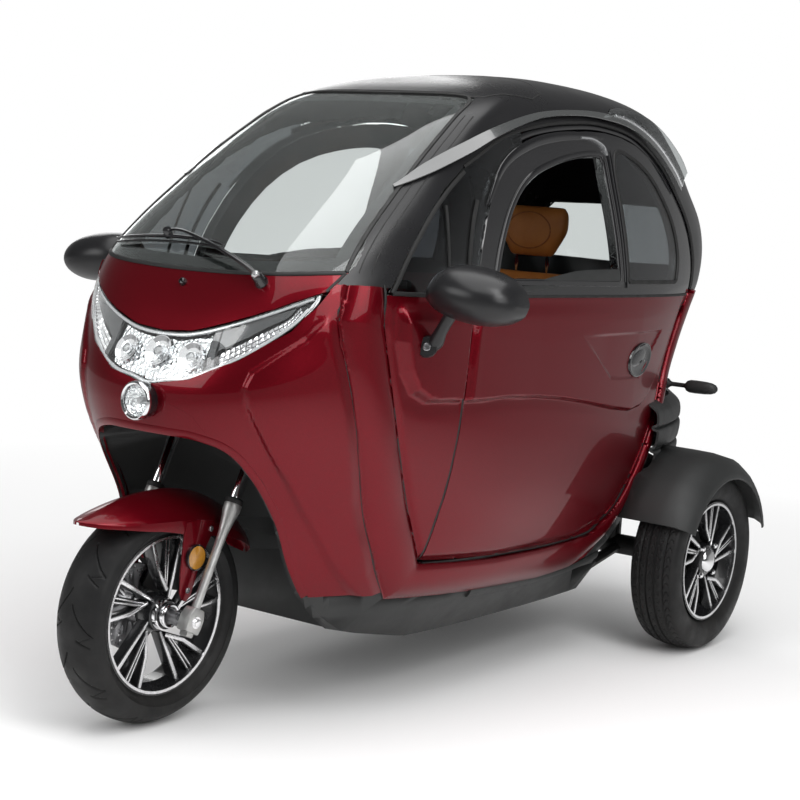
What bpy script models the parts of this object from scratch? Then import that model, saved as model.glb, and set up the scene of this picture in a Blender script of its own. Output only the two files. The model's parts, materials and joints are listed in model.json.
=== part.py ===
"""An enclosed electric tricycle: one steered wheel in front, two driven wheels behind, a closed cabin."""

import math

import bmesh
import bpy
from mathutils import Matrix, Vector

# Frame: metres, front towards -Y, the vehicle's left towards +X, ground at z = 0.
WHEELBASE = 1.613
REAR_AXLE_Y = 0.700
FRONT_AXLE_Y = REAR_AXLE_Y - WHEELBASE
REAR_TRACK = 0.988
FRONT_TYRE_R = 0.243
FRONT_TYRE_W = 0.126
FRONT_RIM_R = FRONT_TYRE_R - 0.067
REAR_TYRE_R = 0.2465
REAR_TYRE_W = 0.135
REAR_RIM_R = REAR_TYRE_R - 0.0835
RAKE = math.radians(25.4)
FORK_SPREAD = 0.118
FORK_OFFSET = 0.035
WALL = 0.020
DOOR_WALL = 0.030
GLASS = 0.006
SEAT_GAP = 0.0003
PANEL_GAP = 0.003
DOOR_GAP = 0.008
CABIN_GAP = 0.008

# The skin is a stack of level outlines. Each has its height, the nose measured from the front axle,
# the tail measured from the rear axle, the half width, where that is, and how square the corners are.
WIDEST_Y = -0.10
SKIN_LEVELS = (
    # height, nose, tail, half width, widest at, front squareness, rear squareness
    (0.150, 0.150, 0.240, 0.285, WIDEST_Y, 2.3, 3.0),
    (0.235, 0.085, 0.300, 0.345, WIDEST_Y, 2.2, 2.8),
    (0.300, 0.050, 0.330, 0.380, WIDEST_Y, 2.2, 2.6),
    (0.380, 0.025, 0.345, 0.405, WIDEST_Y, 2.2, 2.5),
    (0.470, 0.005, 0.350, 0.422, WIDEST_Y, 2.2, 2.4),
    (0.580, -0.030, 0.352, 0.433, WIDEST_Y, 2.45, 2.4),
    (0.670, -0.050, 0.355, 0.439, WIDEST_Y, 2.7, 2.4),
    (0.750, -0.053, 0.360, 0.440, WIDEST_Y, 2.95, 2.4),
    (0.850, -0.010, 0.372, 0.440, WIDEST_Y, 3.4, 2.60),
    (0.930, 0.030, 0.384, 0.438, WIDEST_Y, 3.9, 2.9),
    (1.000, 0.078, 0.390, 0.430, WIDEST_Y, 4.2, 3.4),
    (1.090, 0.188, 0.385, 0.412, WIDEST_Y, 4.6, 3.9),
    (1.170, 0.300, 0.360, 0.391, WIDEST_Y, 5.0, 4.2),
    (1.250, 0.414, 0.310, 0.367, WIDEST_Y, 5.4, 4.2),
    (1.320, 0.524, 0.250, 0.346, WIDEST_Y, 5.6, 4.4),
    (1.380, 0.628, 0.195, 0.325, WIDEST_Y, 5.4, 4.4),
    (1.430, 0.735, 0.135, 0.293, -0.02, 4.6, 4.6),
    (1.465, 0.850, 0.080, 0.245, 0.10, 3.8, 4.0),
    (1.490, 0.990, 0.010, 0.180, 0.25, 3.0, 3.2),
    (1.505, 1.140, -0.090, 0.105, 0.38, 2.5, 2.5),
    (1.512, 1.330, -0.230, 0.020, 0.44, 2.0, 2.0),
)
FRONT_COLUMNS = 10
REAR_COLUMNS = 9
FINE_STEPS = 160

# Lines in side view, as (y, z).
DOOR_LINE = (
    (-0.432, 0.360, 1), (-0.408, 0.500, 0), (-0.400, 0.650, 0), (-0.395, 0.850, 0), (-0.382, 0.955, 0),
    (-0.340, 1.075, 0), (-0.270, 1.190, 0), (-0.170, 1.280, 0), (-0.040, 1.330, 0), (0.130, 1.362, 0),
    (0.320, 1.374, 0), (0.490, 1.352, 0), (0.620, 1.285, 0), (0.710, 1.180, 0), (0.757, 1.070, 0),
    (0.763, 0.975, 0), (0.728, 0.820, 0), (0.655, 0.640, 0), (0.520, 0.475, 0), (0.370, 0.370, 0),
    (0.220, 0.340, 0), (-0.150, 0.343, 0),
)
RING_LINE = (
    (-0.738, 1.020, 1), (-0.775, 0.910, 0), (-0.748, 0.800, 0), (-0.702, 0.670, 0), (-0.640, 0.515, 0),
    (-0.560, 0.350, 0), (-0.500, 0.272, 1), (-0.235, 0.258, 0), (0.110, 0.240, 0), (0.270, 0.248, 0),
    (0.400, 0.315, 0), (0.555, 0.445, 0), (0.655, 0.550, 0), (0.730, 0.665, 0), (0.785, 0.775, 0),
    (0.830, 0.890, 0), (0.846, 1.020, 1),
)
QUARTER_LINE = (
    (-0.672, 0.985, 1), (-0.670, 0.900, 0), (-0.636, 0.780, 0), (-0.588, 0.650, 0), (-0.522, 0.510, 0),
    (-0.440, 0.360, 1), (-0.200, 0.360, 1), (-0.200, 0.985, 1),
)
RAIL_LINE = (
    (-0.672, 0.955, 1), (-0.610, 1.035, 0), (-0.520, 1.130, 0), (-0.360, 1.250, 0), (-0.180, 1.328, 0),
    (0.000, 1.368, 0), (0.160, 1.388, 0), (0.320, 1.396, 0), (0.500, 1.375, 0), (0.645, 1.303, 0),
    (0.738, 1.198, 0), (0.785, 1.080, 0), (0.795, 0.970, 1), (0.100, 0.960, 1),
)
WINDOW_LINE = (
    (-0.305, 0.995, 1), (-0.262, 1.085, 0), (-0.190, 1.175, 0), (-0.090, 1.243, 0), (0.050, 1.288, 0),
    (0.180, 1.312, 0), (0.288, 1.320, 1), (0.292, 0.995, 1),
)
REAR_QUARTER_LINE = (
    (0.330, 0.998, 1), (0.335, 1.150, 0), (0.348, 1.322, 1), (0.450, 1.320, 0), (0.560, 1.262, 0),
    (0.630, 1.165, 0), (0.652, 1.070, 0), (0.640, 0.998, 1),
)
BELT_Z = 0.963
PILLAR_Z = 0.978
SEAM_Y = 0.560
SILL_Z = 0.235
PAN_REAR_Y = 0.470
# The underside rises towards the front wheel: side view, what is cut away below it.
UNDERSIDE = (
    (-1.300, 0.000), (-0.300, 0.000), (-0.340, 0.150), (-0.520, 0.183), (-0.600, 0.202), (-0.700, 0.218),
    (-0.820, 0.245), (-1.300, 0.400),
)
TUB_FRONT_Y = 0.220
TAIL_Z = 0.672
FASCIA_Z = 0.480
COWL_BOTTOM_Z = 0.290
WHEEL_ARCH = (
    (0.252, 0.100, 1), (0.250, 0.300, 0), (0.242, 0.450, 0), (0.228, 0.560, 0), (0.195, 0.622, 0),
    (0.130, 0.645, 0), (0.000, 0.648, 0),
)
ARCH_BACK_Y = -0.560
LINER_TOP_Z = 0.700
LINER_WALL = 0.010
TUB_UNDERSIDE = ((0.440, 0.100), (0.440, 0.280), (0.540, 0.362), (1.400, 0.362), (1.400, 0.100))

# The ridged fascia: height and how far it stands off its own plain outline.
FASCIA_TAIL = 0.436
FASCIA_HALF_WIDTH = 0.440
FASCIA_SQUARENESS = 2.43
FASCIA_RIDGES = (
    (0.4803, -0.012), (0.495, 0.008), (0.530, 0.014), (0.540, 0.002), (0.550, 0.014), (0.590, 0.018),
    (0.600, 0.004), (0.610, 0.016), (0.645, 0.012), (0.6717, -0.018),
)

# Lines in front view for the right half, as (x, z), mirrored to the other side.
LAMP_TOP = ((0.000, 0.856), (0.080, 0.862), (0.160, 0.884), (0.250, 0.920), (0.330, 0.965))
LAMP_BOTTOM = ((0.322, 0.930), (0.290, 0.880), (0.210, 0.812), (0.115, 0.764), (0.050, 0.752), (0.000, 0.742))
HOOD_TOP = ((0.000, 0.985), (0.120, 0.987), (0.240, 0.993), (0.345, 1.004))
SCREEN_SIDE = ((0.345, 1.006), (0.333, 1.080), (0.322, 1.154), (0.303, 1.270), (0.278, 1.390))
SCREEN_TOP_Z = 1.425
REAR_WINDOW = ((0.000, 1.030), (0.230, 1.035), (0.250, 1.060), (0.240, 1.180), (0.215, 1.200), (0.000, 1.205))
ROUND_LAMP_Z = 0.708
ROUND_LAMP_R = 0.041
ROUND_LAMP_FRONT_Y = -1.000


# Steering: distances up the axis from the foot beside the front axle.
CROWN_UP = 0.420
CROWN_THICKNESS = 0.024
SEAL_UP = 0.272
SLIDER_R = 0.024
STANCHION_R = 0.017
STEM_R = 0.013
BAR_UP = 0.845
BAR_HALF = 0.290
BAR_R = 0.011
HEADSTOCK_R = 0.024
HEADSTOCK_LOW = 0.535
HEADSTOCK_HIGH = 0.660
FRONT_AXLE_R = 0.0095
FRONT_BORE_R = 0.0100
FRONT_HUB_HALF = 0.045
FRONT_SPACER_R = 0.018
DISC_R = 0.095
DISC_X = -0.060
FENDER_HALF_WIDTH = 0.084
FENDER_R = FRONT_TYRE_R + 0.037
# Plan outline of the front fender's right half, from the axle, in fender radii: pointed at both ends.
FENDER_PLAN = (
    (0.000, -0.846), (0.022, -0.793), (0.052, -0.632), (0.074, -0.418), (0.086, -0.168), (0.086, 0.546),
    (0.070, 0.796), (0.045, 0.957), (0.000, 1.046),
)
# Side outline of the wedge that the fender keeps, from the axle, in fender radii.
FENDER_WEDGE = ((0, 0), (-1.8, 1.5), (0, 2.1), (1.8, 1.4), (1.8, 0.57))
# Side outline of the plates that hold the fender, from the axle.
FENDER_PLATE = ((-0.032, 0.257), (0.053, 0.257), (0.067, 0.187), (0.028, 0.032), (-0.002, 0.019), (-0.017, 0.157))

REAR_HUB_INNER = 0.005
REAR_SPINDLE_R = 0.0095
REAR_AXLE_R = 0.028
REAR_FENDER_Y = REAR_AXLE_Y + 0.022
REAR_FENDER_Z = REAR_TYRE_R + 0.0035
# Section of the rear fender: across from the tyre's middle, and how far outside the tyre.
REAR_FENDER_PROFILE = (
    (-0.204, 0.0445), (-0.054, 0.0435), (0.006, 0.0415), (0.051, 0.0345), (0.078, 0.0155), (0.092, -0.0015),
    (0.096, -0.0145),
)
FENDER_WALL = 0.006
INDICATOR_Y = 0.870
INDICATOR_Z = 0.700
VISOR_WALL = 0.008
VISOR_LIFT = 0.001
# The right-hand mirror is turned further back, as the photo shows it.
MIRROR_BACK = {"left": 0.0, "right": 0.042}

DOWN_TUBE_R = 0.018
SEAT_HALF_WIDTH = 0.210
SEAT_FRONT_Y = 0.000
SEAT_REAR_Y = 0.460
SEAT_BASE_Z = 0.560
CUSHION_THICKNESS = 0.110
HEADREST_Z = 1.035

HINGE_X = 0.431
HINGE_Y = -0.4007
HINGE_LOW = 0.790
HINGE_HIGH = 0.860
HINGE_PIN_R = 0.0036
DECK_TOP_Z = 0.660
DECK_THICKNESS = 0.020
BULKHEAD_Y = 0.560


def clear_scene():
    for obj in list(bpy.data.objects):
        bpy.data.objects.remove(obj, do_unlink=True)


def collection(name):
    made = bpy.data.collections.new(name)
    bpy.context.scene.collection.children.link(made)
    return made


def material(name, color, roughness, metallic=0.0):
    made = bpy.data.materials.new(name)
    made.use_nodes = True
    shader = made.node_tree.nodes["Principled BSDF"]
    shader.inputs["Base Color"].default_value = (*color, 1.0)
    shader.inputs["Roughness"].default_value = roughness
    shader.inputs["Metallic"].default_value = metallic
    return made


clear_scene()
PARTS = collection("enclosed_electric_tricycle")
HELPERS = collection("cutters_and_guides")
RED = material("candy red paint", (0.30, 0.005, 0.012), 0.18, 0.5)
SATIN = material("satin black", (0.035, 0.036, 0.038), 0.38)
PLASTIC = material("grey black plastic", (0.045, 0.047, 0.048), 0.62)
GLOSS = material("gloss black", (0.012, 0.012, 0.013), 0.12)
TINT = material("tinted glass", (0.06, 0.07, 0.07), 0.05)
RUBBER = material("tyre rubber", (0.02, 0.02, 0.021), 0.8)
ALLOY = material("black alloy", (0.05, 0.05, 0.053), 0.35, 0.6)
CAST = material("cast aluminium", (0.55, 0.55, 0.54), 0.4, 0.9)
STEEL = material("steel", (0.5, 0.5, 0.5), 0.35, 1.0)
CHROME = material("chrome", (0.8, 0.8, 0.8), 0.08, 1.0)
FRAME_PAINT = material("black frame paint", (0.02, 0.02, 0.02), 0.5)
LEATHER = material("tan leather", (0.45, 0.17, 0.04), 0.55)
CLEAR = material("clear lamp", (0.75, 0.77, 0.78), 0.1)
TRIM = material("cabin trim", (0.03, 0.03, 0.032), 0.7)


def add(name, mesh, finish=None, helper=False):
    """Puts a mesh in the scene, as a node of the part or as a cutter."""
    made = bpy.data.objects.new(name, mesh)
    if helper:
        HELPERS.objects.link(made)
        made.hide_render = True
        made.display_type = "WIRE"
    else:
        PARTS.objects.link(made)
    if finish:
        mesh.materials.append(finish)
    return made


def baked(obj):
    """The mesh of an object with its modifiers and its place applied, welded."""
    bpy.context.view_layer.update()
    graph = bpy.context.evaluated_depsgraph_get()
    mesh = bpy.data.meshes.new_from_object(obj.evaluated_get(graph))
    mesh.transform(obj.matrix_world)
    shape = bmesh.new()
    shape.from_mesh(mesh)
    bmesh.ops.remove_doubles(shape, verts=shape.verts, dist=0.000005)
    loose = [vertex for vertex in shape.verts if not vertex.link_faces]
    bmesh.ops.delete(shape, geom=loose, context="VERTS")
    face_outwards(shape)
    shape.to_mesh(mesh)
    shape.free()
    return mesh


def freeze(obj):
    """Applies an object's modifiers and place to its own mesh."""
    mesh = baked(obj)
    name, finish = obj.name, list(obj.data.materials)
    in_helpers = obj.hide_render
    bpy.data.objects.remove(obj, do_unlink=True)
    if not mesh.materials and finish:
        mesh.materials.append(finish[0])
    return add(name, mesh, helper=in_helpers)


def smooth_line(points, steps=2, closed=True):
    """A polygon through (a, b, corner) points: Catmull-Rom between them, sharp where corner is 1."""
    line = []
    count = len(points)
    last = count if closed else count - 1
    for i in range(last):
        before, here = points[i - 1], points[i]
        after, beyond = points[(i + 1) % count], points[(i + 2) % count]
        if here[2]:
            before = here
        if after[2]:
            beyond = after
        for step in range(steps):
            t = step / steps
            line.append(tuple(spline(before[k], here[k], after[k], beyond[k], t) for k in (0, 1)))
            if here[2] and after[2]:
                break
    return line


def spline(p0, p1, p2, p3, t):
    return 0.5 * (
        2 * p1 + (p2 - p0) * t + (2 * p0 - 5 * p1 + 4 * p2 - p3) * t * t + (3 * p1 - p0 - 3 * p2 + p3) * t**3
    )


def area(line):
    return 0.5 * sum(a[0] * b[1] - b[0] * a[1] for a, b in zip(line, line[1:] + line[:1]))


def grown(line, distance):
    """The polygon moved outwards by a distance, inwards where it is negative."""
    if area(line) < 0:
        line = line[::-1]
    moved = []
    for i, here in enumerate(line):
        before, after = Vector(line[i - 1]), Vector(line[(i + 1) % len(line)])
        first = (Vector(here) - before).normalized()
        second = (after - Vector(here)).normalized()
        left, right = Vector((first.y, -first.x)), Vector((second.y, -second.x))
        share = max(1 + left.dot(right), 0.4)
        moved.append(tuple(Vector(here) + (left + right) * (distance / share)))
    return moved


def outline_mesh(name, line, low, high, axis):
    """A closed slab: a flat outline given thickness along one axis."""
    curve = bpy.data.curves.new(name, "CURVE")
    curve.dimensions = "2D"
    curve.fill_mode = "BOTH"
    curve.extrude = (high - low) / 2
    path = curve.splines.new("POLY")
    path.points.add(len(line) - 1)
    for point, (a, b) in zip(path.points, line):
        point.co = (a, b, 0, 1)
    path.use_cyclic_u = True
    holder = bpy.data.objects.new(name, curve)
    HELPERS.objects.link(holder)
    middle = (low + high) / 2
    if axis == "x":
        turn = Matrix(((0, 0, 1, middle), (1, 0, 0, 0), (0, 1, 0, 0), (0, 0, 0, 1)))
    elif axis == "y":
        turn = Matrix(((1, 0, 0, 0), (0, 0, -1, middle), (0, 1, 0, 0), (0, 0, 0, 1)))
    else:
        turn = Matrix.Translation((0, 0, middle))
    holder.matrix_world = turn
    mesh = baked(holder)
    bpy.data.objects.remove(holder, do_unlink=True)
    return mesh


def cutter(name, line, low, high, axis="x"):
    return add(name, outline_mesh(name, line, low, high, axis), helper=True)


def boolean(obj, other, operation):
    change = obj.modifiers.new(operation.lower(), "BOOLEAN")
    change.operation = operation
    change.object = other
    change.solver = "EXACT"


def mirror_line(line):
    """A closed front-view outline from its right half."""
    left = [(-x, z) for x, z in reversed(line) if x > 0]
    return list(line) + left


def level_outline(level):
    """The plan outline of one level for x >= 0, front centre to rear centre, evenly spaced."""
    height, nose, tail, half_width, widest, front_n, rear_n = level
    front = FRONT_AXLE_Y + nose
    rear = REAR_AXLE_Y + tail
    ends = ((widest - front, -1, front_n, FRONT_COLUMNS), (rear - widest, 1, rear_n, REAR_COLUMNS))
    outline = []
    for reach, way, n, columns in ends:
        fine = []
        for i in range(FINE_STEPS + 1):
            turn = math.pi / 2 * i / FINE_STEPS
            x = half_width * math.sin(turn) ** (2 / n)
            fine.append(Vector((x, widest + way * reach * math.cos(turn) ** (2 / n), height)))
        outline_part = evenly(fine, columns)
        outline += outline_part if way < 0 else outline_part[::-1][1:]
    return outline


def evenly(fine, count):
    """Points at equal steps along a fine polyline, ends included."""
    lengths = [0.0]
    for a, b in zip(fine, fine[1:]):
        lengths.append(lengths[-1] + (b - a).length)
    picked = []
    at = 0
    for i in range(count + 1):
        wanted = lengths[-1] * i / count
        while at < len(fine) - 2 and lengths[at + 1] < wanted:
            at += 1
        share = (wanted - lengths[at]) / max(lengths[at + 1] - lengths[at], 1e-9)
        picked.append(fine[at].lerp(fine[at + 1], min(max(share, 0), 1)))
    return picked


def skin_mesh(name, levels, closed_bottom):
    """The outer skin, lofted through the level outlines and mirrored about x = 0."""
    rows = [level_outline(level) for level in levels]
    columns = len(rows[0])
    shape = bmesh.new()
    grid = [[shape.verts.new(p) for p in row] for row in rows]
    for low, high in zip(grid, grid[1:]):
        for i in range(columns - 1):
            shape.faces.new((low[i], low[i + 1], high[i + 1], high[i]))
    shape.faces.new(grid[-1])
    if closed_bottom:
        shape.faces.new(grid[0][::-1])
    bmesh.ops.triangulate(shape, faces=shape.faces)
    mesh = bpy.data.meshes.new(name)
    shape.to_mesh(mesh)
    shape.free()
    holder = add(name, mesh, helper=True)
    for vertex in mesh.vertices:
        if abs(vertex.co.x) < 1e-6:
            vertex.co.x = 0
    half = holder.modifiers.new("mirror", "MIRROR")
    half.use_clip = True
    half.merge_threshold = 0.0001
    return freeze(holder)


def face_outwards(shape):
    """Turns every face outwards, also where the solid had come out inside out."""
    bmesh.ops.recalc_face_normals(shape, faces=shape.faces)
    if shape.calc_volume(signed=True) < 0:
        bmesh.ops.reverse_faces(shape, faces=shape.faces)


def shell(name, thickness, lift=0.0):
    """The skin given a wall: inwards, or outwards from a lifted skin."""
    made = skin_mesh(name, SKIN_LEVELS, closed_bottom=False)
    if lift:
        move = made.modifiers.new("move", "DISPLACE")
        move.strength = lift
        move.mid_level = 0
    wall = made.modifiers.new("wall", "SOLIDIFY")
    wall.thickness = thickness
    wall.offset = 1 if lift else -1
    return freeze(made)


BODY_SHELL = shell("body_shell", WALL)
DOOR_SHELL = shell("door_shell", DOOR_WALL)
GLASS_SHELL = shell("glass_shell", GLASS)
FULL_SKIN = skin_mesh("full_skin", SKIN_LEVELS, closed_bottom=True)


def panel(name, source, finish, keep=(), remove=(), symmetric=False):
    """A piece of a shell: what lies in every keep cutter and in no remove cutter."""
    made = add(name, source.data.copy(), helper=False)
    made.data.materials.clear()
    made.data.materials.append(finish)
    for other in keep:
        boolean(made, other, "INTERSECT")
    for other in remove:
        boolean(made, other, "DIFFERENCE")
    if symmetric:
        half = made.modifiers.new("mirror", "MIRROR")
        half.use_bisect_axis[0] = True
        half.use_clip = True
        half.merge_threshold = 0.0001
    made = freeze(made)
    made.data.set_sharp_from_angle(angle=math.radians(35))
    return made


def mirrored(left):
    """The right-hand twin of a left-hand piece."""
    mesh = left.data.copy()
    mesh.transform(Matrix.Diagonal((-1, 1, 1, 1)))
    mesh.flip_normals()
    return add(left.name.replace("_left", "_right"), mesh)


def turned(name, profile, finish, axis_point, axis="x", segments=32, helper=False):
    """A turned shape: a closed profile of (radius, along) points, turned about an axis by a Screw."""
    shape = bmesh.new()
    points = [shape.verts.new((r, 0, along)) for r, along in profile]
    for a, b in zip(points, points[1:] + points[:1]):
        if a.co.x > 0 or b.co.x > 0:
            shape.edges.new((a, b))
    mesh = bpy.data.meshes.new(name)
    shape.to_mesh(mesh)
    shape.free()
    made = add(name, mesh, None, helper)
    screw = made.modifiers.new("turn", "SCREW")
    screw.steps = segments
    screw.render_steps = segments
    screw.use_merge_vertices = True
    screw.merge_threshold = 0.0001
    turn = {
        "x": Matrix.Rotation(math.pi / 2, 4, "Y"),
        "y": Matrix.Rotation(-math.pi / 2, 4, "X"),
        "z": Matrix.Identity(4),
    }[axis]
    made.matrix_world = Matrix.Translation(axis_point) @ turn
    made = freeze(made)
    made.data.materials.clear()
    if finish:
        made.data.materials.append(finish)
    made.data.shade_smooth()
    made.data.set_sharp_from_angle(angle=math.radians(35))
    return made


def rod(name, start, end, radius, finish, segments=16, helper=False):
    """A cylinder between two points."""
    start, end = Vector(start), Vector(end)
    shape = bmesh.new()
    bmesh.ops.create_cone(
        shape, cap_ends=True, segments=segments, radius1=radius, radius2=radius, depth=(end - start).length
    )
    mesh = bpy.data.meshes.new(name)
    shape.to_mesh(mesh)
    shape.free()
    turn = (end - start).to_track_quat("Z", "Y").to_matrix().to_4x4()
    mesh.transform(Matrix.Translation((start + end) / 2) @ turn)
    return add(name, mesh, finish, helper)


def block(name, low, high, finish, helper=False, edge=0.0):
    """A box between two corners, its edges rounded where edge is set."""
    shape = bmesh.new()
    bmesh.ops.create_cube(shape, size=1.0)
    mesh = bpy.data.meshes.new(name)
    shape.to_mesh(mesh)
    shape.free()
    low, high = Vector(low), Vector(high)
    mesh.transform(Matrix.Translation((low + high) / 2) @ Matrix.Diagonal((*(high - low), 1)))
    made = add(name, mesh, finish, helper)
    if edge:
        rounding = made.modifiers.new("edge", "BEVEL")
        rounding.width = edge
        rounding.segments = 2
    return made


def tube(name, points, radius, finish, resolution=2, helper=False):
    """A bar bent through points."""
    curve = bpy.data.curves.new(name, "CURVE")
    curve.dimensions = "3D"
    curve.bevel_depth = radius
    curve.bevel_resolution = resolution
    curve.use_fill_caps = True
    path = curve.splines.new("POLY")
    path.points.add(len(points) - 1)
    for point, place in zip(path.points, points):
        point.co = (*place, 1)
    holder = bpy.data.objects.new(name, curve)
    HELPERS.objects.link(holder)
    mesh = baked(holder)
    bpy.data.objects.remove(holder, do_unlink=True)
    mesh.materials.clear()
    return add(name, mesh, finish, helper)


def joined(main, *others):
    """One body from a main solid and the solids that it is fused to."""
    for other in others:
        boolean(main, other, "UNION")
    main = freeze(main)
    for other in others:
        other.hide_render = True
    return main


def cut(main, *others):
    for other in others:
        boolean(main, other, "DIFFERENCE")
    return freeze(main)


def steer_point(up, ahead=0.0, across=0.0):
    """A place by its distance up the steering axis, ahead of it and across it."""
    foot = Vector((0, FRONT_AXLE_Y, FRONT_TYRE_R)) + FORK_OFFSET * Vector((0, math.cos(RAKE), -math.sin(RAKE)))
    along = Vector((0, math.sin(RAKE), math.cos(RAKE)))
    forward = Vector((0, -math.cos(RAKE), math.sin(RAKE)))
    return foot + up * along + ahead * forward + across * Vector((1, 0, 0))


DOOR = smooth_line(DOOR_LINE)
DOOR_HOLE = grown(DOOR, DOOR_GAP)
RING = smooth_line(RING_LINE)
QUARTER = smooth_line(QUARTER_LINE)
RAIL = smooth_line(RAIL_LINE)
SIDES = (("left", 1), ("right", -1))
IN = 0.03
OUT = 0.70


def box_line(y0, y1, z0, z1):
    return ((y0, z0), (y1, z0), (y1, z1), (y0, z1))


def side_cutter(name, line, side=1):
    low, high = sorted((side * IN, side * OUT))
    return cutter(name, line, low, high)


def side_cutters(name, line):
    """A side-view outline cut through both sides."""
    return [side_cutter(f"{name}_{word}", line, side) for word, side in SIDES]


def make_sides(front_holes):
    """Door, door frame with its glass, ring, quarter panel and its glass, on both sides."""
    door_cut = side_cutter("cut_door", DOOR)
    hole_cut = side_cutter("cut_door_hole", DOOR_HOLE)
    low = side_cutter("cut_low", box_line(-1.2, 1.2, 0.1, BELT_Z))
    high = side_cutter("cut_high", box_line(-1.2, 1.2, BELT_Z + SEAT_GAP, 1.6))
    window = side_cutter("cut_window", smooth_line(WINDOW_LINE))
    rear_glass = smooth_line(REAR_QUARTER_LINE)
    glass_hole = side_cutter("cut_rear_glass", rear_glass)
    glass_fit = side_cutter("fit_rear_glass", grown(rear_glass, -SEAT_GAP))
    quarter = side_cutter("cut_quarter", QUARTER)
    quarter_hole = side_cutter("hole_quarter", grown(QUARTER, SEAT_GAP))
    ring = side_cutter("cut_ring", RING)
    rail = side_cutter("cut_rail", RAIL)
    below_pillar = side_cutter("cut_below_pillar", box_line(-1.2, 1.2, 0.1, PILLAR_Z))
    front_glass = side_cutter("fit_front_glass", grown(RAIL, -SEAT_GAP))
    front_only = side_cutter("front_only", box_line(-0.9, -0.1, 0.9, 1.5))
    hinge_room = block(
        "hinge_room",
        (0.3, HINGE_Y - HINGE_PIN_R - SEAT_GAP, HINGE_LOW - SEAT_GAP),
        (0.5, HINGE_Y + 0.010, HINGE_HIGH + SEAT_GAP),
        None,
        helper=True,
    )
    made = (
        panel("door_panel_left", DOOR_SHELL, RED, (door_cut, low)),
        panel("door_frame_left", DOOR_SHELL, GLOSS, (door_cut, high), (window, glass_hole)),
        panel("door_rear_glass_left", GLASS_SHELL, TINT, (glass_fit,)),
        panel("quarter_panel_left", BODY_SHELL, RED, (quarter, low), (hole_cut, hinge_room)),
        panel("door_ring_left", BODY_SHELL, RED, (ring, below_pillar), (hole_cut, quarter_hole, rail, *front_holes)),
        panel("front_quarter_glass_left", GLASS_SHELL, TINT, (front_glass, high, front_only), (hole_cut,)),
    )
    for piece in made:
        mirrored(piece)
    make_hinge()


def make_hinge():
    """The door's hinge: a pin in the shut line, on a plate behind the quarter panel."""
    pin = rod("door_hinge_left", (HINGE_X, HINGE_Y, HINGE_LOW), (HINGE_X, HINGE_Y, HINGE_HIGH), HINGE_PIN_R, STEEL, 14)
    reach = 0.003
    web = block(
        "hinge_web", (HINGE_X - 0.030, HINGE_Y - HINGE_PIN_R, HINGE_LOW + reach), (HINGE_X, HINGE_Y - 0.001, HINGE_HIGH - reach),
        None, True,
    )
    plate = block(
        "hinge_plate", (HINGE_X - 0.040, HINGE_Y - 0.060, HINGE_LOW), (HINGE_X - 0.018, HINGE_Y - 0.001, HINGE_HIGH), None, True
    )
    boolean(plate, BEHIND_PANEL, "INTERSECT")
    joined(pin, web, freeze(plate))
    mirrored(bpy.data.objects["door_hinge_left"])


def lamp_outline():
    return mirror_line(list(LAMP_TOP) + list(LAMP_BOTTOM))


def hood_outline():
    return mirror_line(list(LAMP_TOP) + list(reversed(HOOD_TOP)))


def screen_outline(lower):
    """The windscreen's outline in front view, from the lower edge that it is given."""
    top = [(0.262, SCREEN_TOP_Z - 0.012), (0.200, SCREEN_TOP_Z), (0.000, SCREEN_TOP_Z)]
    return mirror_line(list(lower) + list(SCREEN_SIDE[1:]) + top)


def arch_outline():
    line = smooth_line(WHEEL_ARCH, closed=False)
    return mirror_line(line + [WHEEL_ARCH[-1][:2]])


def make_front(rings, lamp_hole, hood_hole):
    """Cowl, hood, headlamp, round lamp, windscreen."""
    lamp_fit = cutter("fit_lamp", lamp_outline(), -1.3, -0.55, "y")
    hood_fit = cutter("fit_hood", grown(hood_outline(), -SEAT_GAP), -1.3, -0.55, "y")
    screen_fit = cutter("fit_screen", grown(screen_outline(HOOD_TOP), -SEAT_GAP), -1.3, 0.0, "y")
    to_lamp = ((0.000, 0.900), (0.330, 0.900), LAMP_TOP[-1], HOOD_TOP[-1])
    screen_hole = cutter("cut_screen", screen_outline(to_lamp), -1.3, 0.0, "y")
    arch = cutter("cut_arch", arch_outline(), -1.4, ARCH_BACK_Y, "y")
    front = cutter("keep_front", box_line(-1.3, -0.45, COWL_BOTTOM_Z, PILLAR_Z), -0.7, 0.7)
    panel("front_cowl", BODY_SHELL, RED, (front,), (arch, lamp_hole, hood_hole, *rings), True)
    panel("headlamp", DOOR_SHELL, CLEAR, (lamp_fit,), (), True)
    panel("hood", BODY_SHELL, RED, (hood_fit,), (lamp_hole,), True)
    panel("windscreen", GLASS_SHELL, TINT, (screen_fit,), (hood_hole,), True)
    pod = rod(
        "round_lamp", (0, ROUND_LAMP_FRONT_Y, ROUND_LAMP_Z), (0, -0.90, ROUND_LAMP_Z), ROUND_LAMP_R, CLEAR, 28
    )
    cut(pod, SKIN_CLEAR)
    return screen_hole


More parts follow.
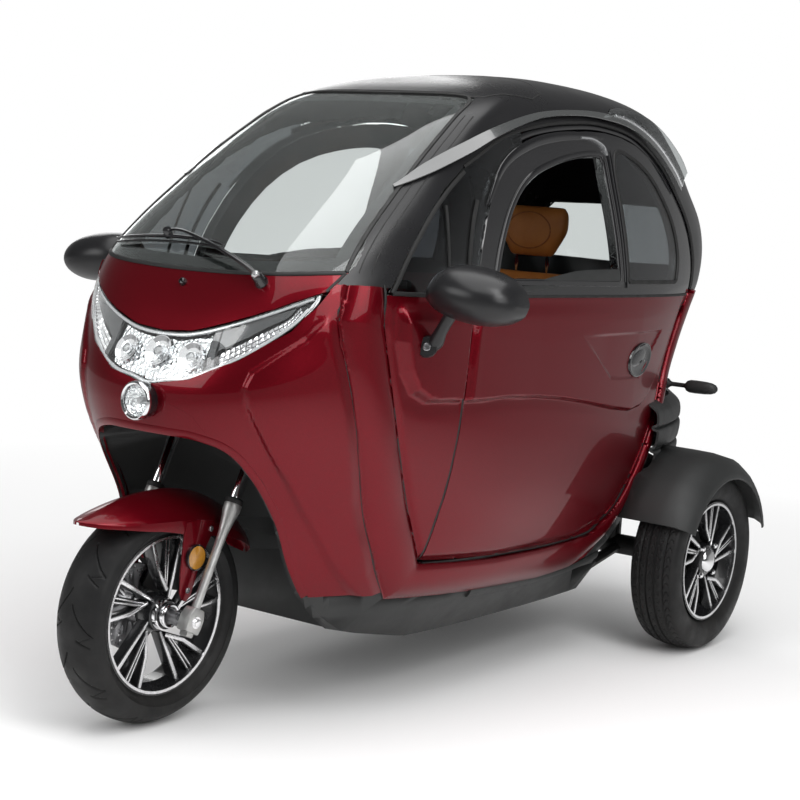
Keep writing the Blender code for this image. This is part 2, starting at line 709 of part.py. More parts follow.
def make_roof(rails, rings, screen_hole):
    """Roof with its pillars and rails, rear panel with its window, and the red tail."""
    above = cutter("keep_roof", box_line(-1.2, SEAM_Y, PILLAR_Z + SEAT_GAP, 1.7), -0.7, 0.7)
    panel("roof", BODY_SHELL, SATIN, (above,), (screen_hole, *rails), True)
    rear = cutter("keep_rear", box_line(SEAM_Y + SEAT_GAP, 1.3, PILLAR_Z + SEAT_GAP, 1.7), -0.7, 0.7)
    window = mirror_line(REAR_WINDOW)
    window_hole = cutter("cut_rear_window", window, 0.5, 1.4, "y")
    window_fit = cutter("fit_rear_window", grown(window, -SEAT_GAP), 0.5, 1.4, "y")
    panel("rear_panel", BODY_SHELL, SATIN, (rear,), (*rails, window_hole), True)
    panel("rear_window", GLASS_SHELL, TINT, (window_fit,), (), True)
    tail = cutter("keep_tail", box_line(0.4, 1.3, TAIL_Z, PILLAR_Z), -0.7, 0.7)
    panel("tail_panel", BODY_SHELL, RED, (tail,), rings, True)


def displaced(name, source, distance):
    """A copy of a closed solid with its skin moved along its normals."""
    made = add(name, source.data.copy(), helper=True)
    move = made.modifiers.new("move", "DISPLACE")
    move.strength = distance
    move.mid_level = 0
    return freeze(made)


def fascia_skin(name, extra=0.0):
    """The closed outer form of the ridged fascia."""
    levels = [
        (
            height,
            0.0,
            FASCIA_TAIL + stand + extra,
            FASCIA_HALF_WIDTH + stand + extra,
            WIDEST_Y,
            2.4,
            FASCIA_SQUARENESS,
        )
        for height, stand in FASCIA_RIDGES
    ]
    if extra:
        levels[0] = (levels[0][0] - extra, *levels[0][1:])
        levels[-1] = (levels[-1][0] + extra, *levels[-1][1:])
    return skin_mesh(name, levels, closed_bottom=True)


def make_pan(cuts):
    """Belly pan: a floor slab with an upstand round it that meets the painted panels."""
    below = block("keep_pan", (-0.7, -1.2, 0.1), (0.7, PAN_REAR_Y, COWL_BOTTOM_Z - SEAT_GAP), None, helper=True)
    arch = cutter("cut_pan_arch", arch_outline(), -1.4, ARCH_BACK_Y, "y")
    under = cutter("cut_pan_under", UNDERSIDE, -0.7, 0.7)
    hollow = block("pan_hollow", (-0.7, -1.2, SILL_Z), (0.7, 1.2, 0.6), None, helper=True)
    boolean(hollow, INNER_SPACE, "INTERSECT")
    hollow = freeze(hollow)
    tub = block("cut_pan_tub", (-0.7, TUB_FRONT_Y - SEAT_GAP, SILL_Z), (0.7, 1.2, 0.6), None, helper=True)
    panel("belly_pan", FULL_SKIN, PLASTIC, (below,), (hollow, tub, arch, under, *cuts), True)


def make_liner():
    """The wheel-arch liner: a tunnel inside the cowl's opening, closed behind, with a hole for the stem."""
    outer = outline_mesh("liner", grown(arch_outline(), -SEAT_GAP), -1.0, ARCH_BACK_Y - SEAT_GAP, "y")
    liner = add("wheel_arch_liner", outer, PLASTIC)
    half = 0.205
    raised = block("liner_raised", (-half, -0.855, 0.520), (half, ARCH_BACK_Y - SEAT_GAP, LINER_TOP_Z), None, helper=True)
    hollow_line = grown(arch_outline(), -SEAT_GAP - LINER_WALL)
    hollow = cutter("cut_liner", hollow_line, -1.4, ARCH_BACK_Y - SEAT_GAP - LINER_WALL, "y")
    wall = LINER_WALL
    hollow_top = block(
        "cut_liner_top",
        (-half + wall, -1.0, 0.500),
        (half - wall, ARCH_BACK_Y - SEAT_GAP - wall, LINER_TOP_Z - wall),
        None,
        helper=True,
    )
    stem_hole = rod("cut_liner_stem", steer_point(0.45), steer_point(0.60), HEADSTOCK_R + SEAT_GAP, None, helper=True)
    below = cutter("cut_liner_low", UNDERSIDE, -0.7, 0.7)
    boolean(liner, raised, "UNION")
    boolean(liner, FULL_SKIN, "INTERSECT")
    for other in (hollow, hollow_top, stem_hole, below):
        boolean(liner, other, "DIFFERENCE")
    freeze(liner)


def make_tub(ring_cuts):
    """The black shell round the rear axle and the ridged fascia above it."""
    box = block("keep_tub", (-0.7, TUB_FRONT_Y, SILL_Z + SEAT_GAP), (0.7, 1.3, FASCIA_Z), None, helper=True)
    under = cutter("cut_tub_low", TUB_UNDERSIDE, -0.7, 0.7)
    panel("rear_tub", FULL_SKIN, PLASTIC, (box,), (*ring_cuts, INNER_SPACE, under), True)
    fascia = fascia_skin("fascia_form")
    behind = block("keep_fascia", (-0.7, 0.30, 0.4), (0.7, 1.4, 0.8), None, helper=True)
    panel("rear_fascia", fascia, PLASTIC, (behind,), (INNER_SPACE, *ring_cuts))


def make_interior():
    """Seat base, which is the battery box, the seat, the luggage deck with its bulkhead, the dashboard."""
    half = SEAT_HALF_WIDTH
    block("seat_base", (-half, SEAT_FRONT_Y, SILL_Z + SEAT_GAP), (half, SEAT_REAR_Y, SEAT_BASE_Z), TRIM)
    cushion_low = SEAT_BASE_Z + SEAT_GAP
    cushion_top = cushion_low + CUSHION_THICKNESS
    cushion_rear = SEAT_REAR_Y - 0.010
    block(
        "seat_cushion", (0.005 - half, SEAT_FRONT_Y - 0.020, cushion_low), (half - 0.005, cushion_rear, cushion_top),
        LEATHER, edge=0.025,
    )
    back_line = smooth_line(
        (
            (SEAT_REAR_Y - 0.008, SEAT_BASE_Z + 0.060, 0), (SEAT_REAR_Y + 0.045, SEAT_BASE_Z + 0.055, 0),
            (SEAT_REAR_Y + 0.090, 0.810, 0), (SEAT_REAR_Y + 0.125, 1.000, 0), (SEAT_REAR_Y + 0.060, 1.010, 0),
            (SEAT_REAR_Y + 0.020, 0.810, 0),
        ),
    )
    back = add("seat_back", outline_mesh("seat_back", back_line, -0.195, 0.195, "x"), LEATHER)
    foot = block(
        "seat_back_foot", (-0.120, SEAT_REAR_Y - 0.020, cushion_low), (0.120, SEAT_REAR_Y + 0.045, 0.640), None, True
    )
    clear = block(
        "cut_back_cushion", (-0.3, -0.1, 0.3), (0.3, cushion_rear + SEAT_GAP, cushion_top + 0.001), None, True
    )
    head = block("headrest", (-0.115, 0.505, HEADREST_Z), (0.115, 0.580, HEADREST_Z + 0.150), None, True, edge=0.020)
    boolean(back, foot, "UNION")
    boolean(back, freeze(head), "UNION")
    for x in (-0.05, 0.05):
        boolean(back, rod("headrest_post", (x, 0.545, 0.98), (x, 0.545, 1.06), 0.006, None, 10, True), "UNION")
    boolean(back, clear, "DIFFERENCE")
    freeze(back)
    deck = block("luggage_deck", (-0.45, BULKHEAD_Y, DECK_TOP_Z - DECK_THICKNESS), (0.45, 1.2, DECK_TOP_Z), TRIM)
    bulkhead = block(
        "bulkhead", (-0.45, BULKHEAD_Y - 0.020, SILL_Z + SEAT_GAP), (0.45, BULKHEAD_Y + 0.005, DECK_TOP_Z), None, True
    )
    boolean(deck, bulkhead, "UNION")
    boolean(deck, CABIN_SPACE, "INTERSECT")
    freeze(deck)
    dash_line = ((-0.900, 0.955), (-0.615, 0.955), (-0.665, 0.800), (-0.700, 0.735), (-0.900, 0.735))
    dash = add("dashboard", outline_mesh("dashboard", dash_line, -0.310, 0.310, "x"), TRIM)
    boolean(dash, INNER_SPACE, "INTERSECT")
    freeze(dash)


def make_frame():
    """Headstock and the two down tubes that carry it from the floor."""
    head = rod("frame", steer_point(HEADSTOCK_LOW), steer_point(HEADSTOCK_HIGH), HEADSTOCK_R, FRAME_PAINT, 20)
    bore = rod("cut_headstock", steer_point(0.45), steer_point(0.75), STEM_R + SEAT_GAP, None, 20, True)
    for word, side in SIDES:
        path = (
            (0, *steer_point(0.60)[1:]), (side * 0.06, -0.545, 0.745), (side * 0.09, -0.520, 0.600),
            (side * 0.14, -0.515, SILL_Z - 0.02),
        )
        boolean(head, tube("down_tube_" + word, path, DOWN_TUBE_R, None, helper=True), "UNION")
    below = block("cut_frame_low", (-0.3, -0.7, 0.1), (0.3, -0.4, SILL_Z + SEAT_GAP), None, helper=True)
    boolean(head, bore, "DIFFERENCE")
    boolean(head, below, "DIFFERENCE")
    freeze(head)


def make_tyre(name, centre, radius, width, bead, crown):
    half = width / 2
    side = [
        (bead, half * 0.72), (bead + 0.012, half * 0.80), ((bead + radius) / 2, half), (radius - 0.022, half * 0.94),
        (radius - crown, half * 0.70), (radius - crown * 0.2, half * 0.35),
    ]
    profile = side + [(radius, 0.0)] + [(r, -x) for r, x in reversed(side)]
    return turned(name, profile[::-1], RUBBER, centre, segments=32)


def make_wheel(name, centre, bead, width, outer, hub_inner, hub_outer, hub_r, bore):
    """Alloy wheel: barrel, hub and five pairs of spokes near the outer face."""
    half = width / 2
    wall = 0.007
    seat = bead - SEAT_GAP
    barrel = [
        (seat - wall, -half), (seat - 0.012 - wall, 0.0), (seat - wall, half), (seat, half),
        (seat - 0.004, 0.0), (seat, -half),
    ]
    rim = turned(name, barrel, ALLOY, centre, segments=32)
    hub_low, hub_high = sorted((hub_inner, hub_outer))
    hub = turned(
        name + "_hub",
        [(bore, hub_low), (bore, hub_high), (hub_r, hub_high), (hub_r, hub_low)],
        None,
        centre,
        segments=20,
        helper=True,
    )
    bars = []
    reach = seat - wall + 0.003
    face = outer * 0.008
    for i in range(5):
        for lean in (-1, 1):
            x0, x1 = sorted((outer * half - outer * 0.034, outer * half - face))
            bar = block(f"{name}_bar_{i}_{lean}", (x0, -0.009, hub_r * 0.7), (x1, 0.009, reach), None, helper=True)
            bar.data.transform(
                Matrix.Translation(centre)
                @ Matrix.Rotation(2 * math.pi * i / 5, 4, "X")
                @ Matrix.Translation((0, lean * 0.012, 0))
                @ Matrix.Rotation(-lean * math.radians(9), 4, "X")
            )
            bars.append(bar)
    return joined(rim, hub, *bars)


def make_wheels():
    front = Vector((0, FRONT_AXLE_Y, FRONT_TYRE_R))
    make_tyre("front_tyre", front, FRONT_TYRE_R, FRONT_TYRE_W, FRONT_RIM_R, 0.020)
    make_wheel(
        "front_rim", front, FRONT_RIM_R, 0.088, 1, -FRONT_HUB_HALF, FRONT_HUB_HALF, 0.036, FRONT_BORE_R
    )
    step = FRONT_HUB_HALF + SEAT_GAP
    turned(
        "brake_disc",
        [
            (0.020, -step), (0.034, -step), (0.034, DISC_X + 0.002), (DISC_R, DISC_X + 0.002),
            (DISC_R, DISC_X - 0.002), (0.020, DISC_X - 0.002),
        ],
        STEEL,
        front,
        segments=32,
    )
    for word, side in SIDES:
        centre = Vector((side * REAR_TRACK / 2, REAR_AXLE_Y, REAR_TYRE_R))
        make_tyre("rear_tyre_" + word, centre, REAR_TYRE_R, REAR_TYRE_W, REAR_RIM_R, 0.010)
        make_wheel(
            "rear_rim_" + word, centre, REAR_RIM_R, 0.110, side, side * REAR_HUB_INNER, side * 0.050, 0.045,
            REAR_SPINDLE_R + 0.0005,
        )


def make_rear_axle():
    """Axle tube with brake drums, spindles and the drive motor's housing, trailing arms and dampers."""
    centre = Vector((0, REAR_AXLE_Y, REAR_TYRE_R))
    half = REAR_TRACK / 2
    inner = half + REAR_HUB_INNER - 0.004
    profile = [
        (0.0, -half - 0.045), (0.0, half + 0.045), (REAR_SPINDLE_R, half + 0.045), (REAR_SPINDLE_R, inner),
        (0.075, inner), (0.075, inner - 0.055), (REAR_AXLE_R, inner - 0.055), (REAR_AXLE_R, 0.10),
        (0.085, 0.085), (0.085, -0.085), (REAR_AXLE_R, -0.10), (REAR_AXLE_R, -inner + 0.055),
        (0.075, -inner + 0.055), (0.075, -inner), (REAR_SPINDLE_R, -inner), (REAR_SPINDLE_R, -half - 0.045),
    ]
    axle = turned("rear_axle", profile, FRAME_PAINT, centre, segments=24)
    motor = rod(
        "motor_body", (0.05, REAR_AXLE_Y + 0.02, REAR_TYRE_R + 0.02), (0.05, REAR_AXLE_Y + 0.20, REAR_TYRE_R + 0.05), 0.062, None, 20, True
    )
    arms = [
        tube(
            "arm_" + word,
            ((side * 0.27, PAN_REAR_Y - 0.02, 0.195), (side * 0.27, REAR_AXLE_Y, REAR_TYRE_R)),
            0.014,
            None,
            helper=True,
        )
        for word, side in SIDES
    ]
    dampers = []
    for word, side in SIDES:
        x, low, high = side * 0.24, REAR_TYRE_R, DECK_TOP_Z - DECK_THICKNESS - SEAT_GAP
        dampers.append(rod("damper_" + word, (x, REAR_AXLE_Y, low), (x, REAR_AXLE_Y, low + 0.22), 0.026, None, 14, True))
        dampers.append(rod("shaft_" + word, (x, REAR_AXLE_Y, low + 0.20), (x, REAR_AXLE_Y, high), 0.012, None, 10, True))
    axle = joined(axle, motor, *arms, *dampers)
    cut(axle, block("cut_arms", (-0.4, 0.3, 0.1), (0.4, PAN_REAR_Y + SEAT_GAP, 0.4), None, helper=True))


def make_rear_fenders():
    """Half-round fenders with a flared lip, cut to seat on the body side."""
    for word, side in SIDES:
        section = [(REAR_TRACK / 2 + across, REAR_TYRE_R + out) for across, out in REAR_FENDER_PROFILE]
        outer = [(r, side * x) for x, r in section]
        inner = [(r - FENDER_WALL, side * (x - 0.003)) for x, r in reversed(section)]
        profile = outer + inner
        if side < 0:
            profile = profile[::-1]
        centre = (0, REAR_FENDER_Y, REAR_FENDER_Z)
        ring = turned("rear_fender_" + word, profile, PLASTIC, centre, segments=44)
        wedge = cutter(
            "keep_fender_" + word,
            (
                (REAR_FENDER_Y, REAR_FENDER_Z), (REAR_FENDER_Y - 0.60, REAR_FENDER_Z + 0.27),
                (REAR_FENDER_Y - 0.30, 0.90), (REAR_FENDER_Y + 0.40, 0.90), (REAR_FENDER_Y + 0.60, REAR_FENDER_Z + 0.19),
            ),
            -0.7,
            0.7,
        )
        boolean(ring, wedge, "INTERSECT")
        boolean(ring, SKIN_CLEAR, "DIFFERENCE")
        boolean(ring, FASCIA_CLEAR, "DIFFERENCE")
        freeze(ring)


def make_fork():
    """Legs, crown with stem, handlebar, front axle, fender, caliper and reflectors."""
    for word, side in SIDES:
        across = side * FORK_SPREAD
        foot = steer_point(-0.030, FORK_OFFSET, across)
        seal = steer_point(SEAL_UP, FORK_OFFSET, across)
        top = steer_point(CROWN_UP - CROWN_THICKNESS / 2 - SEAT_GAP, FORK_OFFSET, across)
        slider = rod("fork_leg_" + word, foot, seal, SLIDER_R, CAST)
        stanchion = rod("stanchion_" + word, steer_point(SEAL_UP - 0.03, FORK_OFFSET, across), top, STANCHION_R, None, 16, True)
        joined(slider, stanchion)
    turn = Matrix.Rotation(-RAKE, 4, "X")
    width = FORK_SPREAD + 0.026
    crown = block(
        "steering_stem",
        (-width, -FORK_OFFSET - 0.026, -CROWN_THICKNESS / 2),
        (width, 0.022, CROWN_THICKNESS / 2),
        FRAME_PAINT,
    )
    crown.data.transform(Matrix.Translation(steer_point(CROWN_UP)) @ turn)
    stem = rod("stem", steer_point(CROWN_UP), steer_point(BAR_UP), STEM_R, None, 20, True)
    bar = tube(
        "bar",
        (
            steer_point(BAR_UP + 0.02, -0.075, -BAR_HALF), steer_point(BAR_UP + 0.02, -0.060, -0.180),
            steer_point(BAR_UP, 0.0, -0.070), steer_point(BAR_UP, 0.0, 0.070),
            steer_point(BAR_UP + 0.02, -0.060, 0.180), steer_point(BAR_UP + 0.02, -0.075, BAR_HALF),
        ),
        BAR_R,
        None,
        helper=True,
    )
    joined(crown, stem, bar)
    front = Vector((0, FRONT_AXLE_Y, FRONT_TYRE_R))
    leg_face = FORK_SPREAD - SLIDER_R
    spacer = FRONT_HUB_HALF + 0.0015
    axle_profile = [
        (0.0, -leg_face + SEAT_GAP), (0.0, leg_face - SEAT_GAP), (FRONT_SPACER_R, leg_face - SEAT_GAP),
        (FRONT_SPACER_R, spacer), (FRONT_AXLE_R, spacer), (FRONT_AXLE_R, -spacer),
        (FRONT_SPACER_R, -spacer), (FRONT_SPACER_R, -leg_face + SEAT_GAP),
    ]
    turned("front_axle", axle_profile, CHROME, front, segments=24)
    make_front_fender(front, leg_face)
    caliper = caliper_block("brake_caliper", 0.0, CAST, False)
    slot = rod(
        "cut_caliper", (DISC_X - 0.008, *front[1:]), (DISC_X + 0.008, *front[1:]), DISC_R + 0.006, None, 32, True
    )
    cut(caliper, slot)


def caliper_block(name, extra, finish, helper):
    """The brake caliper's body beside the right-hand leg, grown by a gap where it is a cutter."""
    high = Vector((-0.046 + extra, 0.082 + extra, 0.098 + extra))
    low = Vector((SLIDER_R + SEAT_GAP - FORK_SPREAD - extra, -extra, 0.048 - extra))
    made = block(name, low, high, finish, helper)
    made.data.transform(Matrix.Translation(steer_point(0, FORK_OFFSET)) @ Matrix.Rotation(-RAKE, 4, "X"))
    return made


def make_front_fender(front, leg_face):
    half = FENDER_HALF_WIDTH
    crown = FENDER_R
    profile = [
        (crown - 0.022, half), (crown - 0.004, half * 0.75), (crown, 0.0), (crown - 0.004, -half * 0.75),
        (crown - 0.022, -half), (crown - 0.028, -half + 0.003), (crown - 0.010, -half * 0.72),
        (crown - 0.006, 0.0), (crown - 0.010, half * 0.72), (crown - 0.028, half - 0.003),
    ]
    fender = turned("front_fender", profile[::-1], RED, front, segments=44)
    y, z = front[1:]
    wedge = cutter(
        "keep_front_fender",
        [(y + a * crown, z + b * crown) for a, b in FENDER_WEDGE],
        -0.4,
        0.4,
    )
    boolean(fender, wedge, "INTERSECT")
    plan = mirror_line([(x, y + crown * share) for x, share in FENDER_PLAN])
    boolean(fender, cutter("keep_fender_plan", plan, z, z + 2 * crown, "z"), "INTERSECT")
    plate = [(y + ahead, z + up) for ahead, up in FENDER_PLATE]
    for word, side in SIDES:
        low, high = sorted((side * (half - 0.004), side * (leg_face - SEAT_GAP)))
        boolean(fender, cutter("fender_plate_" + word, plate, low, high), "UNION")
    tyre_clear = rod(
        "cut_fender_tyre", (-0.3, y, z), (0.3, y, z), FRONT_TYRE_R + 0.008, None, 48, True
    )
    narrow = block("keep_narrow", (-half + 0.004, y - 0.5, z - 0.3), (half - 0.004, y + 0.5, z + 0.4), None, helper=True)
    boolean(tyre_clear, narrow, "INTERSECT")
    tyre_clear = freeze(tyre_clear)
    boolean(fender, tyre_clear, "DIFFERENCE")
    boolean(fender, caliper_block("cut_fender_caliper", PANEL_GAP, None, True), "DIFFERENCE")
    freeze(fender)


def front_skin_y(x, z):
    """Where the front of the skin is, for a place across and a height."""
    for low, high in zip(SKIN_LEVELS, SKIN_LEVELS[1:]):
        if low[0] <= z <= high[0]:
            break
    share = (z - low[0]) / (high[0] - low[0])
    nose, half_width, widest, n = (low[i] + share * (high[i] - low[i]) for i in (1, 3, 4, 5))
    reach = widest - FRONT_AXLE_Y - nose
    return widest - reach * (1 - (abs(x) / half_width) ** n) ** (1 / n)


def make_outside():
    """Mirrors, wiper, rain visors, rear indicators."""
    for word, side in SIDES:
        shape = bmesh.new()
        bmesh.ops.create_uvsphere(shape, u_segments=20, v_segments=12, radius=1.0)
        mesh = bpy.data.meshes.new("mirror_" + word)
        shape.to_mesh(mesh)
        shape.free()
        back = MIRROR_BACK[word]
        place = Vector((side * 0.566, back - 0.593, 0.978))
        mesh.transform(Matrix.Translation(place) @ Matrix.Diagonal((0.114, 0.075, 0.064, 1)))
        housing = add("mirror_" + word, mesh, SATIN)
        flat = block("cut_mirror_" + word, (side * 0.566 - 0.2, back - 0.568, 0.8), (side * 0.566 + 0.2, -0.4, 1.2), None, helper=True)
        arm = tube(
            "mirror_arm_" + word,
            (
                (side * 0.400, -0.552, 0.855), (side * 0.455, -0.560, 0.868), (side * 0.478, back / 2 - 0.578, 0.900),
                (side * 0.520, back - 0.590, 0.945),
            ),
            0.016,
            None,
            helper=True,
        )
        boolean(housing, flat, "DIFFERENCE")
        boolean(housing, arm, "UNION")
        boolean(housing, SKIN_CLEAR, "DIFFERENCE")
        freeze(housing)
    for word, side in SIDES:
        root, neck, inside, tip = [(side * x, INDICATOR_Y, INDICATOR_Z) for x in (0.240, 0.350, 0.375, 0.445)]
        stalk = rod("rear_indicator_" + word, root, inside, 0.008, SATIN, 12)
        pod = rod("indicator_pod_" + word, neck, tip, 0.017, None, 14, True)
        cut(joined(stalk, pod), SKIN_CLEAR)
    band = side_cutter("keep_visor", grown(RAIL, 0.050))
    rail = side_cutter("cut_visor", grown(RAIL, 0.004))
    high = side_cutter("keep_visor_high", box_line(-0.50, 0.80, 1.15, 1.6))
    mirrored(panel("rain_visor_left", VISOR_SHELL, TINT, (band, high), (rail, SKIN_CLEAR)))
    blade = [(x, front_skin_y(x, 1.030) - 0.016, 1.030) for x in (-0.28, -0.19, -0.10, 0.0, 0.09)]
    wiper = tube("wiper", blade, 0.007, FRAME_PAINT)
    arm = tube(
        "wiper_arm",
        (
            (0.200, front_skin_y(0.2, 0.975) + 0.02, 0.972), (0.200, front_skin_y(0.2, 0.975) - 0.020, 0.985),
            (0.080, front_skin_y(0.08, 1.01) - 0.030, 1.015), (-0.080, front_skin_y(0.08, 1.030) - 0.024, 1.036),
            (-0.100, front_skin_y(0.10, 1.030) - 0.016, 1.031),
        ),
        0.006,
        None,
        helper=True,
    )
    boolean(wiper, arm, "UNION")
    boolean(wiper, SKIN_CLEAR, "DIFFERENCE")
    freeze(wiper)


SKIN_CLEAR = displaced("skin_clear", FULL_SKIN, 2 * SEAT_GAP)
INNER_SPACE = displaced("inner_space", FULL_SKIN, -DOOR_WALL - SEAT_GAP)
BEHIND_PANEL = displaced("behind_panel", FULL_SKIN, -WALL - SEAT_GAP)
CABIN_SPACE = displaced("cabin_space", FULL_SKIN, -DOOR_WALL - CABIN_GAP)
FASCIA_CLEAR = fascia_skin("fascia_clear", SEAT_GAP)
VISOR_SHELL = shell("visor_shell", VISOR_WALL, VISOR_LIFT)

def main():
    rails = side_cutters("rail_hole", RAIL)
    rings = side_cutters("ring_hole", grown(RING, SEAT_GAP))
    lamp_hole = cutter("cut_lamp", grown(lamp_outline(), SEAT_GAP), -1.3, -0.55, "y")
    hood_hole = cutter("cut_hood", hood_outline(), -1.3, -0.55, "y")
    make_sides((lamp_hole, hood_hole))
    make_roof(rails, rings, make_front(rings, lamp_hole, hood_hole))
    make_pan(rings)
    make_liner()
    make_tub(rings)
    make_frame()
    make_interior()
    make_wheels()
    make_rear_axle()
    make_rear_fenders()
    make_fork()
    make_outside()


if __name__ == "__main__":
    main()
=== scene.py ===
# %% [markdown]
# An enclosed electric tricycle, dressed for its portrait.
# The solids of the vehicle are already there as a fixed frame. This lesson adds what the eye wants:
# smooth painted panels, glass, lamps, tyres with tread, upholstery, and the light of a studio.
# Everything is in metres. The front looks towards -Y and the vehicle's left side is at +X.

import bpy
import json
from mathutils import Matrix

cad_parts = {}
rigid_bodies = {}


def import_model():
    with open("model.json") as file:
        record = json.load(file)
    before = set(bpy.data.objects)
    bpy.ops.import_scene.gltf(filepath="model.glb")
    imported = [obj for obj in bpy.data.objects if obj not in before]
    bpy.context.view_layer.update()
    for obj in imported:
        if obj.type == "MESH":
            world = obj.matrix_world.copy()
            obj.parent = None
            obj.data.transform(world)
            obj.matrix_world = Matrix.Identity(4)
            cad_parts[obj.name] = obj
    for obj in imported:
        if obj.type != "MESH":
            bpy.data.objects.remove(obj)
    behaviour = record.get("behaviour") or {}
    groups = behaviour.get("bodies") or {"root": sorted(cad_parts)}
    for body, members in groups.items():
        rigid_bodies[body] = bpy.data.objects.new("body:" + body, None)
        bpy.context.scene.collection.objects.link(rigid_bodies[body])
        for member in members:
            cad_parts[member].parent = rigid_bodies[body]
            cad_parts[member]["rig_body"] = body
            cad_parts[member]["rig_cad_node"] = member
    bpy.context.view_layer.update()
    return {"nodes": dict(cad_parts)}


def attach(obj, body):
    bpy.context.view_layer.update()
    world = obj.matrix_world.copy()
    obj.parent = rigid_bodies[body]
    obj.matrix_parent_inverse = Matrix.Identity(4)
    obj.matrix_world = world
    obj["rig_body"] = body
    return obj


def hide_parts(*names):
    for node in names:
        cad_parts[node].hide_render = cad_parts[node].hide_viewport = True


for leftover in list(bpy.data.objects):
    bpy.data.objects.remove(leftover, do_unlink=True)
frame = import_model()
nodes = frame["nodes"]

# %% Tools of the trade
import json
import math
from contextlib import contextmanager

import bmesh
import numpy as np
from mathutils import Matrix, Vector
from mathutils.bvhtree import BVHTree
from mathutils.interpolate import poly_3d_calc

SIDES = (("left", 1), ("right", -1))
REAR_AXLE_Y = 0.7
FRONT_AXLE_Y = -0.913
FRONT_TYRE_R = 0.243
REAR_TYRE_R = 0.2465
REAR_TRACK = 0.988
FRONT_HUB = Vector((0.0, FRONT_AXLE_Y, FRONT_TYRE_R))
REAR_HUBS = {word: Vector((side * REAR_TRACK / 2, REAR_AXLE_Y, REAR_TYRE_R)) for word, side in SIDES}
SIDEWAYS = Vector((1, 0, 0))
FORWARD = Vector((0, -1, 0))
BACKWARD = Vector((0, 1, 0))
DOWNWARD = Vector((0, 0, -1))
print("wheels stand at", tuple(FRONT_HUB), [tuple(hub) for hub in REAR_HUBS.values()])

# %% [markdown]
# The camera stands low, ahead of the left front corner, where the photographer stood.
# A real photographer levels the camera by eye, so this one is turned a few degrees about its own view.
# A camera could be aimed with a constraint, but the matrix below says the three axes plainly.

# %% Camera
AZIMUTH = math.radians(35.675)
ELEVATION = math.radians(6.354)
ROLL = math.radians(3.969)
camera_data = bpy.data.cameras.new("camera")
camera_data.lens = 77.745
camera_data.sensor_width = 36.0
camera = bpy.data.objects.new("camera", camera_data)
bpy.context.scene.collection.objects.link(camera)
back = Vector(
    (
        math.sin(AZIMUTH) * math.cos(ELEVATION),
        -math.cos(AZIMUTH) * math.cos(ELEVATION),
        math.sin(ELEVATION),
    )
)
level_right = Vector((math.cos(AZIMUTH), math.sin(AZIMUTH), 0.0))
level_up = back.cross(level_right)
right = level_right * math.cos(ROLL) + level_up * math.sin(ROLL)
up = level_up * math.cos(ROLL) - level_right * math.sin(ROLL)
camera.matrix_world = Matrix.Translation(
    (2.557, -3.603, 1.15)
) @ Matrix((right, up, back)).transposed().to_4x4()
bpy.context.scene.camera = camera
print("camera at", tuple(camera.location))

# %% [markdown]
# The studio is a white sweep: a floor that runs out into a white world, with large soft boxes above
# and beside the vehicle. Gloss paint shows what stands round it, so the boxes shape its highlights.

# %% Wiring a shader
def connect(tree, value, socket):
    """Links another node's output to a socket, or sets the socket to a plain value."""
    if isinstance(value, bpy.types.NodeSocket):
        tree.links.new(value, socket)
    else:
        socket.default_value = value


def shader_node(tree, kind, inputs=None, **settings):
    """A new node with its settings, and its inputs connected or set."""
    made = tree.nodes.new("ShaderNode" + kind)
    for setting, value in settings.items():
        setattr(made, setting, value)
    for socket, value in (inputs or {}).items():
        connect(tree, value, made.inputs[socket])
    return made


# %% Studio world
# How the world's strength falls for mirror rays: axis, from, to, share there, share here.
WALL_FALLS = (("Y", -0.2, 0.7, 0.0, 1.0), ("Z", 0.12, 0.5, 1.0, 0.0))
WALL_GAIN, WALL_LEAST = 0.26, 0.09
PLAIN_STRENGTH = 0.42
bpy.context.scene.view_settings.view_transform = "Standard"
world = bpy.data.worlds.new("studio")
bpy.context.scene.world = world
world.use_nodes = True
tree = world.node_tree
rays = shader_node(tree, "LightPath").outputs
seen = shader_node(
    tree, "Math", {0: rays["Is Camera Ray"], 1: rays["Is Transmission Ray"]}, operation="MAXIMUM"
)
direction = shader_node(tree, "TexCoord").outputs["Generated"]
parts = shader_node(tree, "SeparateXYZ", {"Vector": direction}).outputs
shares = []
for axis, low, high, at_low, at_high in WALL_FALLS:
    ends = {"From Min": low, "From Max": high, "To Min": at_low, "To Max": at_high, "Value": parts[axis]}
    shares.append(shader_node(tree, "MapRange", ends, interpolation_type="SMOOTHSTEP").outputs["Result"])
product = shader_node(tree, "Math", {0: shares[0], 1: shares[1]}, operation="MULTIPLY").outputs[0]
wall = shader_node(
    tree, "Math", {0: product, 1: WALL_GAIN, 2: WALL_LEAST}, operation="MULTIPLY_ADD"
).outputs[0]
mirrored = shader_node(
    tree, "MapRange", {"Value": rays["Is Glossy Ray"], "To Min": PLAIN_STRENGTH, "To Max": wall}
)
ends = {"Value": seen.outputs[0], "To Min": mirrored.outputs["Result"], "To Max": 1.0}
strength = shader_node(tree, "MapRange", ends).outputs["Result"]
background = tree.nodes["Background"]
tree.links.new(strength, background.inputs["Strength"])
background.inputs["Color"].default_value = (1.0, 1.0, 1.0, 1.0)
print("the studio's world is white to the camera")


# %% Soft boxes
SOFT_BOXES = (
    # name, place, target, size, watts
    ("top_box", (0.3, -0.6, 3.6), (0.0, 0.0, 0.6), (3.2, 4.6), 95),
    ("key_box", (3.4, -1.6, 2.3), (0.0, -0.2, 0.6), (2.6, 2.2), 46),
    ("front_box", (-1.8, -4.2, 2.2), (0.0, -0.6, 0.6), (2.2, 1.8), 38),
    ("pillar_box", (2.35, -1.24, 3.5), (0.3, -0.5, 1.1), (1.3, 2.4), 36),
    ("rim_box", (-3.2, 2.6, 2.4), (0.0, 0.3, 0.8), (2.4, 1.8), 34),
)


